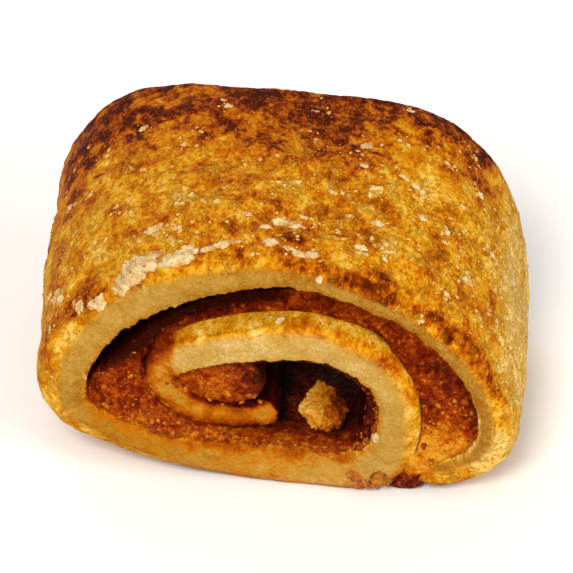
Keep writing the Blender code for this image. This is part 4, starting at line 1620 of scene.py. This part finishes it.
@dataclass
class Sugar(Pebbles):
    """Pale sugar on the crust: clumps grown together, single crumbs, and loose flecks.

    Attributes:
        dough: the sheet that it lies on.
        clumps_mm: X, Y, Z, length, width and turn in degrees of each heap of the clumps.
        crumbs_mm, seam_mm: the same for the single crumbs, and for the brown ones at the seam.
        around, rings: columns round a heap, and rows from its top to its rim.
        flecks: how many loose flecks.
        fleck_turns: the turns between which they lie.
        fleck_mm: least size of a fleck, and how much the largest has on top of it.
        jitter_mm: how far they are shaken off the grid's points.
        seed: the flecks' random draws.
    """

    dough: Dough
    clumps_mm: tuple = (
        (-12.5, -12.4, 21.3, 2.9, 2.4, 30), (-13.7, -12.7, 20.3, 2.1, 1.7, 45),
        (-11.4, -12.2, 22.2, 2.2, 1.9, 20), (-10.9, -11.5, 22.7, 1.4, 1.1, 0),
        (-12.6, -11.2, 21.8, 1.2, 1.0, 0), (-8.4, -12.4, 23.2, 2.3, 1.8, 15),
        (-9.5, -12.5, 22.7, 1.7, 1.4, 30), (-7.9, -11.4, 23.5, 1.2, 0.9, 0),
        (-7.5, -12.1, 23.6, 1.4, 0.8, 20), (-6.1, -11.8, 23.8, 1.8, 0.8, 10),
        (-4.9, -11.6, 24.0, 1.7, 0.9, 5), (-3.6, -11.3, 24.2, 1.3, 0.7, -10),
        (-15.7, -12.8, 18.3, 1.6, 1.3, 30), (-16.5, -12.5, 17.9, 0.9, 0.8, 0),
        (-17.7, -12.0, 17.2, 1.2, 1.0, 50), (-20.0, -7.8, 15.4, 1.6, 1.2, 40),
        (-19.2, -9.2, 15.9, 0.9, 0.8, 0), (-0.5, -11.6, 24.4, 1.4, 1.0, 0), (1.1, -12.1, 24.1, 1.2, 0.7, -20),
        (2.1, -12.7, 24.1, 1.5, 0.9, -25), (3.1, -12.8, 24.1, 1.4, 0.9, 15), (-11.4, -8.2, 23.3, 1.8, 0.8, 5),
        (-9.1, -8.9, 23.5, 1.3, 0.6, 0), (0.2, -8.4, 24.6, 1.8, 1.0, 0), (1.4, -8.7, 24.6, 1.5, 0.9, 20),
        (-1.1, -9.4, 24.5, 1.1, 0.7, 0),
    )
    crumbs_mm: tuple = (
        (-2.9, -7.6, 24.6, 0.9, 0.8, 0), (-19.8, 2.7, 17.8, 0.9, 0.7, 60), (-17.9, 1.2, 20.5, 0.7, 0.5, 0),
        (9.8, 6.2, 24.2, 0.5, 0.4, 0), (12.4, 6.9, 23.4, 0.5, 0.4, 0), (6.9, 4.5, 24.5, 1.2, 0.8, 30),
        (14.2, 5.9, 22.1, 0.8, 0.5, -20), (16.8, 10.1, 20.0, 0.4, 0.4, 0), (16.9, 9.4, 19.8, 0.5, 0.4, 0),
        (7.0, 1.3, 24.5, 0.9, 0.6, 0), (10.5, 1.1, 23.8, 1.2, 0.6, -25), (11.6, 0.6, 23.2, 1.0, 0.6, -30),
        (12.4, 0.1, 22.8, 0.9, 0.6, 60), (17.4, 4.5, 19.7, 0.9, 0.7, -30), (15.7, 0.9, 20.8, 0.8, 0.7, 0),
        (12.5, -3.8, 22.4, 0.9, 0.8, 0), (2.0, -7.1, 24.3, 1.2, 0.5, -20), (8.5, -6.6, 23.7, 1.3, 0.9, 0),
        (14.7, -3.8, 21.3, 0.9, 0.5, 70), (14.3, -4.3, 21.5, 0.7, 0.4, 10), (15.6, -3.0, 20.2, 0.9, 0.4, 70),
        (18.6, -1.5, 17.3, 0.7, 0.6, 0), (7.4, -10.3, 23.6, 1.3, 0.8, 0), (7.7, -11.2, 23.3, 0.6, 0.5, 0),
        (9.4, -11.1, 22.9, 0.8, 0.4, -40), (16.8, -8.0, 19.0, 1.1, 0.8, 0), (18.7, -5.8, 16.4, 0.6, 0.5, 0),
        (14.9, -11.4, 19.6, 0.9, 0.5, -20), (20.5, -0.9, 14.1, 1.2, 0.6, -60),
        (20.0, -0.6, 15.0, 0.5, 0.4, 0), (19.1, -8.6, 16.5, 0.6, 0.4, 0), (19.4, -8.9, 15.2, 0.6, 0.4, 0),
        (12.7, -14.9, 18.9, 0.5, 0.4, 0), (3.9, -14.7, 22.6, 0.9, 0.6, 90), (5.7, -11.6, 17.3, 0.4, 0.4, 0),
        (5.7, -12.6, 17.2, 0.4, 0.4, 0), (-0.4, -13.3, 17.1, 0.5, 0.5, 0), (0.5, -13.9, 17.2, 1.0, 0.7, 60),
        (8.6, -15.0, 6.6, 1.3, 0.9, 80), (7.5, -14.5, 13.6, 0.5, 0.4, 0), (-13.5, 7.5, 23.6, 1.0, 0.7, 20),
        (-6.0, 9.5, 24.8, 0.8, 0.6, 0), (2.0, 10.5, 25.0, 0.9, 0.5, -10), (-15.0, -3.0, 21.5, 0.8, 0.5, 30),
        (-5.5, -3.5, 24.8, 0.7, 0.5, 0), (4.4, -3.2, 24.6, 0.8, 0.5, -10), (-9.5, 3.5, 24.6, 0.7, 0.5, 20),
        (-20.5, -3.0, 12.6, 0.9, 0.6, 50), (-20.7, 1.5, 11.0, 0.7, 0.6, 0), (20.6, 5.5, 11.5, 0.8, 0.5, 40),
        (10.5, 12.0, 23.6, 0.8, 0.6, 0),
    )
    seam_mm: tuple = (
        (7.0, -14.6, 1.9, 1.7, 1.1, 20), (8.2, -14.6, 1.3, 1.6, 1.2, -30), (9.2, -14.4, 2.2, 1.9, 1.5, 40),
        (9.0, -14.2, 0.8, 1.4, 1.0, 0), (7.6, -14.4, 0.7, 1.1, 0.8, 10), (10.0, -14.2, 1.4, 1.4, 1.1, 60),
        (13.6, -13.8, 1.4, 1.0, 0.7, 0), (6.2, -14.6, 1.0, 0.8, 0.5, 0),
    )
    around: int = 48
    rings: int = 15
    flecks: int = 1300
    fleck_turns: tuple[float, float] = (-14, 208)
    fleck_mm: tuple[float, float] = (0.10, 0.34)
    jitter_mm: float = 0.10
    seed: int = 7

    def mound(self, here: Array, up: Array, length: float, width: float, turn: float, number: int) -> Skin:
        """A low heap on an oval footprint, closed underneath, out of sight in the crust.

        With r as the share of the footprint's reach, the heap is half its width times
        (1 - r^2)^0.5 high, broken up by noise and by lumps where scattered seeds are near. The
        reach of the footprint varies round it by noise.

        Args:
            here: its centre on the crust.
            up: the way out of the crust.
            length, width: its size in millimetres.
            turn: how far its length is turned on the crust, in degrees.
            number: which heap it is, so that no two are alike.

        Returns:
            The closed heap.
        """
        angle = ring(self.around)
        share = np.concatenate([np.linspace(0.03, 1, self.rings), np.linspace(0.9, 0.1, 3)])[:, None]
        below = np.arange(len(share))[:, None] >= self.rings
        rim = np.stack([np.cos(angle), np.sin(angle), 0 * angle + number * 1.7], -1)
        reach = 0.5 + 0.30 * Grain(52).layered(rim * 2.2, 3)
        flat_x, flat_y = (share * reach * side * size
                          for side, size in ((np.cos(angle), length), (np.sin(angle), width)))
        where = np.stack([flat_x, flat_y, 0 * flat_x + number * 5.3], -1)
        near, name = Grain(53).nearest(where / 0.42)
        broken = 0.66 + 0.60 * Grain(54).layered(where / 0.7, 3) + 0.60 * smooth_step(0.6, 0.1, near) * name
        height = np.clip(1 - share**2, 0, 1) ** 0.5 * broken * width * 0.50
        height = np.where(below, -0.35, height - 0.10)
        side = np.cross((0.0, 1.0, 0.0), up)
        side /= np.linalg.norm(side)
        along = np.cross(up, side)
        c, n = math.cos(math.radians(turn)), math.sin(math.radians(turn))
        east, north = flat_x * c - flat_y * n, flat_x * n + flat_y * c
        grid = here + (east[..., None] * side + north[..., None] * along + height[..., None] * up) * MM
        return Skin.rolled(grid)

    def heaps(self, rows: tuple, first: int) -> Skin:
        """Lays one heap at the point of the dough nearest to each row's X, Y and Z.

        Args:
            rows: X, Y, Z, length, width and turn of each.
            first: the number of the first heap.

        Returns:
            All of them as one skin.
        """
        points, ways = (grid.reshape(-1, 3) for grid in (self.dough.points, self.dough.normals))
        made = []
        for number, (x, y, z, length, width, turn) in enumerate(rows):
            nearest = np.sum((points / MM - (x, y, z)) ** 2, axis=1).argmin()
            made.append(self.mound(points[nearest], ways[nearest], length, width, turn, number + first))
        return Skin.joined(made)

    def build(self, clump: SugarFinish, fleck: SugarFinish, baked: SugarFinish) -> list[Piece]:
        """Makes the clumps, the crumbs, the baked crumbs at the seam and the loose flecks.

        Flecks are drawn at random over the crust and kept by chance: more where noise gathers them,
        at the front, and round the heaps.

        Args:
            clump: the finish of the clumps and crumbs.
            fleck: the finish of the flecks.
            baked: the finish of the crumbs at the seam.

        Returns:
            The four pieces.
        """
        crust = self.dough.points[:, : self.dough.slab.outer]
        ways = self.dough.normals[:, : self.dough.slab.outer]
        turns = self.dough.turns
        draws = np.random.RandomState(self.seed)
        cream = clump.material()
        made = [self.heaps(self.clumps_mm, 0).make("sugar_clumps", cream),
                self.heaps(self.crumbs_mm, 100).make("sugar_crumbs", cream),
                self.heaps(self.seam_mm, 200).make("seam_crumbs", baked.material())]

        strewn = np.flatnonzero((turns > self.fleck_turns[0]) & (turns < self.fleck_turns[1]))
        tries = self.flecks * 4
        rows = draws.choice(strewn, tries)
        columns = draws.randint(0, self.dough.slab.outer, tries)
        here = crust[rows, columns]
        spot = here / MM
        drift = Grain(51).layered(spot / np.array([3.0, 2.5, 3.0]), 3)
        chance = np.clip(0.16 + 1.3 * drift, 0.02, 1)
        chance *= (0.55 + 0.6 * hump(-13, 4, spot[:, 1])) * smooth_step(11, 4, spot[:, 1])
        heaps = np.array(self.clumps_mm + self.crumbs_mm)[:, :3]
        apart = np.sqrt(((spot[:, None] - heaps[None]) ** 2).sum(axis=-1)).min(axis=1)
        chance += 0.45 * hump(0.6, 0.9, apart)
        kept = np.flatnonzero(draws.uniform(size=tries) < chance)[: self.flecks]
        sizes = self.sizes(self.fleck_mm, 2.6, 1.9, len(kept), draws)
        ups = ways[rows[kept], columns[kept]]
        jitter = draws.normal(size=(len(kept), 3)) * self.jitter_mm * MM
        flat = jitter - ups * np.sum(jitter * ups, axis=1)[:, None]
        flecks = self.strewn(here[kept] + flat, ups, sizes, draws)
        made.append(flecks.make("sugar_flecks", fleck.material()))
        return made


# The studio


@dataclass(frozen=True)
class Lamp:
    """A square area light that faces the piece.

    Attributes:
        name: its name.
        azimuth, elevation: where it stands, in degrees from the front and above the floor.
        size, power: its side in metres, and its watts.
        colour: its colour.
        far: its distance in metres.
    """

    name: str
    azimuth: float
    elevation: float
    size: float
    power: float
    colour: Colour = (1.0, 0.98, 0.95)
    far: float = 1.0


@dataclass(frozen=True)
class Studio:
    """A pale floor, soft light and the camera.

    Attributes:
        azimuth, elevation, distance: where the camera stands.
        aim_mm: what the camera and the lamps look at.
        lens, sensor: its focal length and its width in millimetres.
        clip: the nearest and furthest that it sees.
        floor, floor_shade: the floor's lighter and darker colour.
        floor_reach: half the floor's side.
        sky, sky_strength: colour and strength of the light all round.
        lamps: the lamps.
    """

    azimuth: float = 4.0
    elevation: float = 34.0
    distance: float = 0.42
    aim_mm: tuple = (0.0, 0.0, 12.0)
    lens: float = 291.6
    sensor: float = 36.0
    clip: tuple[float, float] = (0.01, 50.0)
    floor: Colour = linear(246, 245, 243)
    floor_shade: Colour = linear(238, 236, 233)
    floor_reach: float = 3.0
    sky: Colour = (1.0, 0.98, 0.95)
    sky_strength: float = 0.30
    lamps: tuple[Lamp, ...] = (
        Lamp("key", -14, 42, 0.34, 8.6, (1.0, 0.97, 0.92)), Lamp("fill", 55, 28, 0.60, 5.4),
        Lamp("top", 10, 85, 0.60, 1.4), Lamp("back", 205, 30, 0.60, 2.6),
    )

    def aimed(self, thing: Piece, azimuth: float, elevation: float, far: float) -> None:
        """Stands a camera or a lamp at an azimuth, an elevation and a distance, turned to the aim.

        Args:
            thing: the camera or lamp.
            azimuth, elevation: its place in degrees.
            far: its distance in metres.
        """
        a, e = math.radians(azimuth), math.radians(elevation)
        back = Vector((math.sin(a) * math.cos(e), -math.cos(a) * math.cos(e), math.sin(e)))
        thing.location = Vector(self.aim_mm) * MM + back * far
        thing.rotation_mode = "QUATERNION"
        thing.rotation_quaternion = (-back).to_track_quat("-Z", "Y")
        bpy.context.scene.collection.objects.link(thing)

    def lay_floor(self) -> None:
        """Lays the floor, a square of faintly mottled paper, as a stage."""
        g = Graph("floor")
        paper = g.noise(g.in_mm(), 0.02, 2.0)
        base = g.mix(g.span(paper, 0.3, 0.7, 0.0, 0.4), self.floor, self.floor_shade)
        material = g.finish(Base_Color=base, Roughness=0.9, Specular_IOR_Level=0.2)
        mesh = bpy.data.meshes.new("floor")
        far = self.floor_reach
        mesh.from_pydata([(-far, -far, 0), (far, -far, 0), (far, far, 0), (-far, far, 0)], [], [(0, 1, 2, 3)])
        mesh.materials.append(material)
        floor = bpy.data.objects.new("floor", mesh)
        bpy.context.scene.collection.objects.link(floor)

    def build(self) -> None:
        """Sets the floor, the world, the lamps and the camera."""
        scene = bpy.context.scene
        scene.view_settings.view_transform = "Standard"
        scene.view_settings.look = "None"
        self.lay_floor()
        world = bpy.data.worlds.new("studio")
        world.use_nodes = True
        background = world.node_tree.nodes["Background"].inputs
        background["Color"].default_value = (*self.sky, 1.0)
        background["Strength"].default_value = self.sky_strength
        scene.world = world
        for lamp in self.lamps:
            data = bpy.data.lights.new(lamp.name, "AREA")
            data.size, data.energy, data.color = lamp.size, lamp.power, lamp.colour
            self.aimed(bpy.data.objects.new(lamp.name, data), lamp.azimuth, lamp.elevation, lamp.far)
        camera = bpy.data.objects.new("camera", bpy.data.cameras.new("camera"))
        camera.data.lens, camera.data.sensor_width = self.lens, self.sensor
        camera.data.clip_start, camera.data.clip_end = self.clip
        self.aimed(camera, self.azimuth, self.elevation, self.distance)
        scene.camera = camera


def main() -> None:
    logging.basicConfig(level=logging.INFO, format="%(name)s: %(message)s")
    Studio().build()
    roll = Roll()
    dough = Dough(roll)
    dough.build(DoughFinish())
    filling = Filling(roll)
    filling.build(FillingFinish())
    Nut().build(NutFinish())
    Sugar(dough).build(SugarFinish(), SugarFinish("fleck", linear(226, 188, 112), linear(204, 150, 62), 0.65),
                       SugarFinish("baked_crumb", linear(190, 116, 22), linear(128, 54, 5), 0.5))
    Granules(filling, dough).build()


if __name__ == "__main__":
    main()
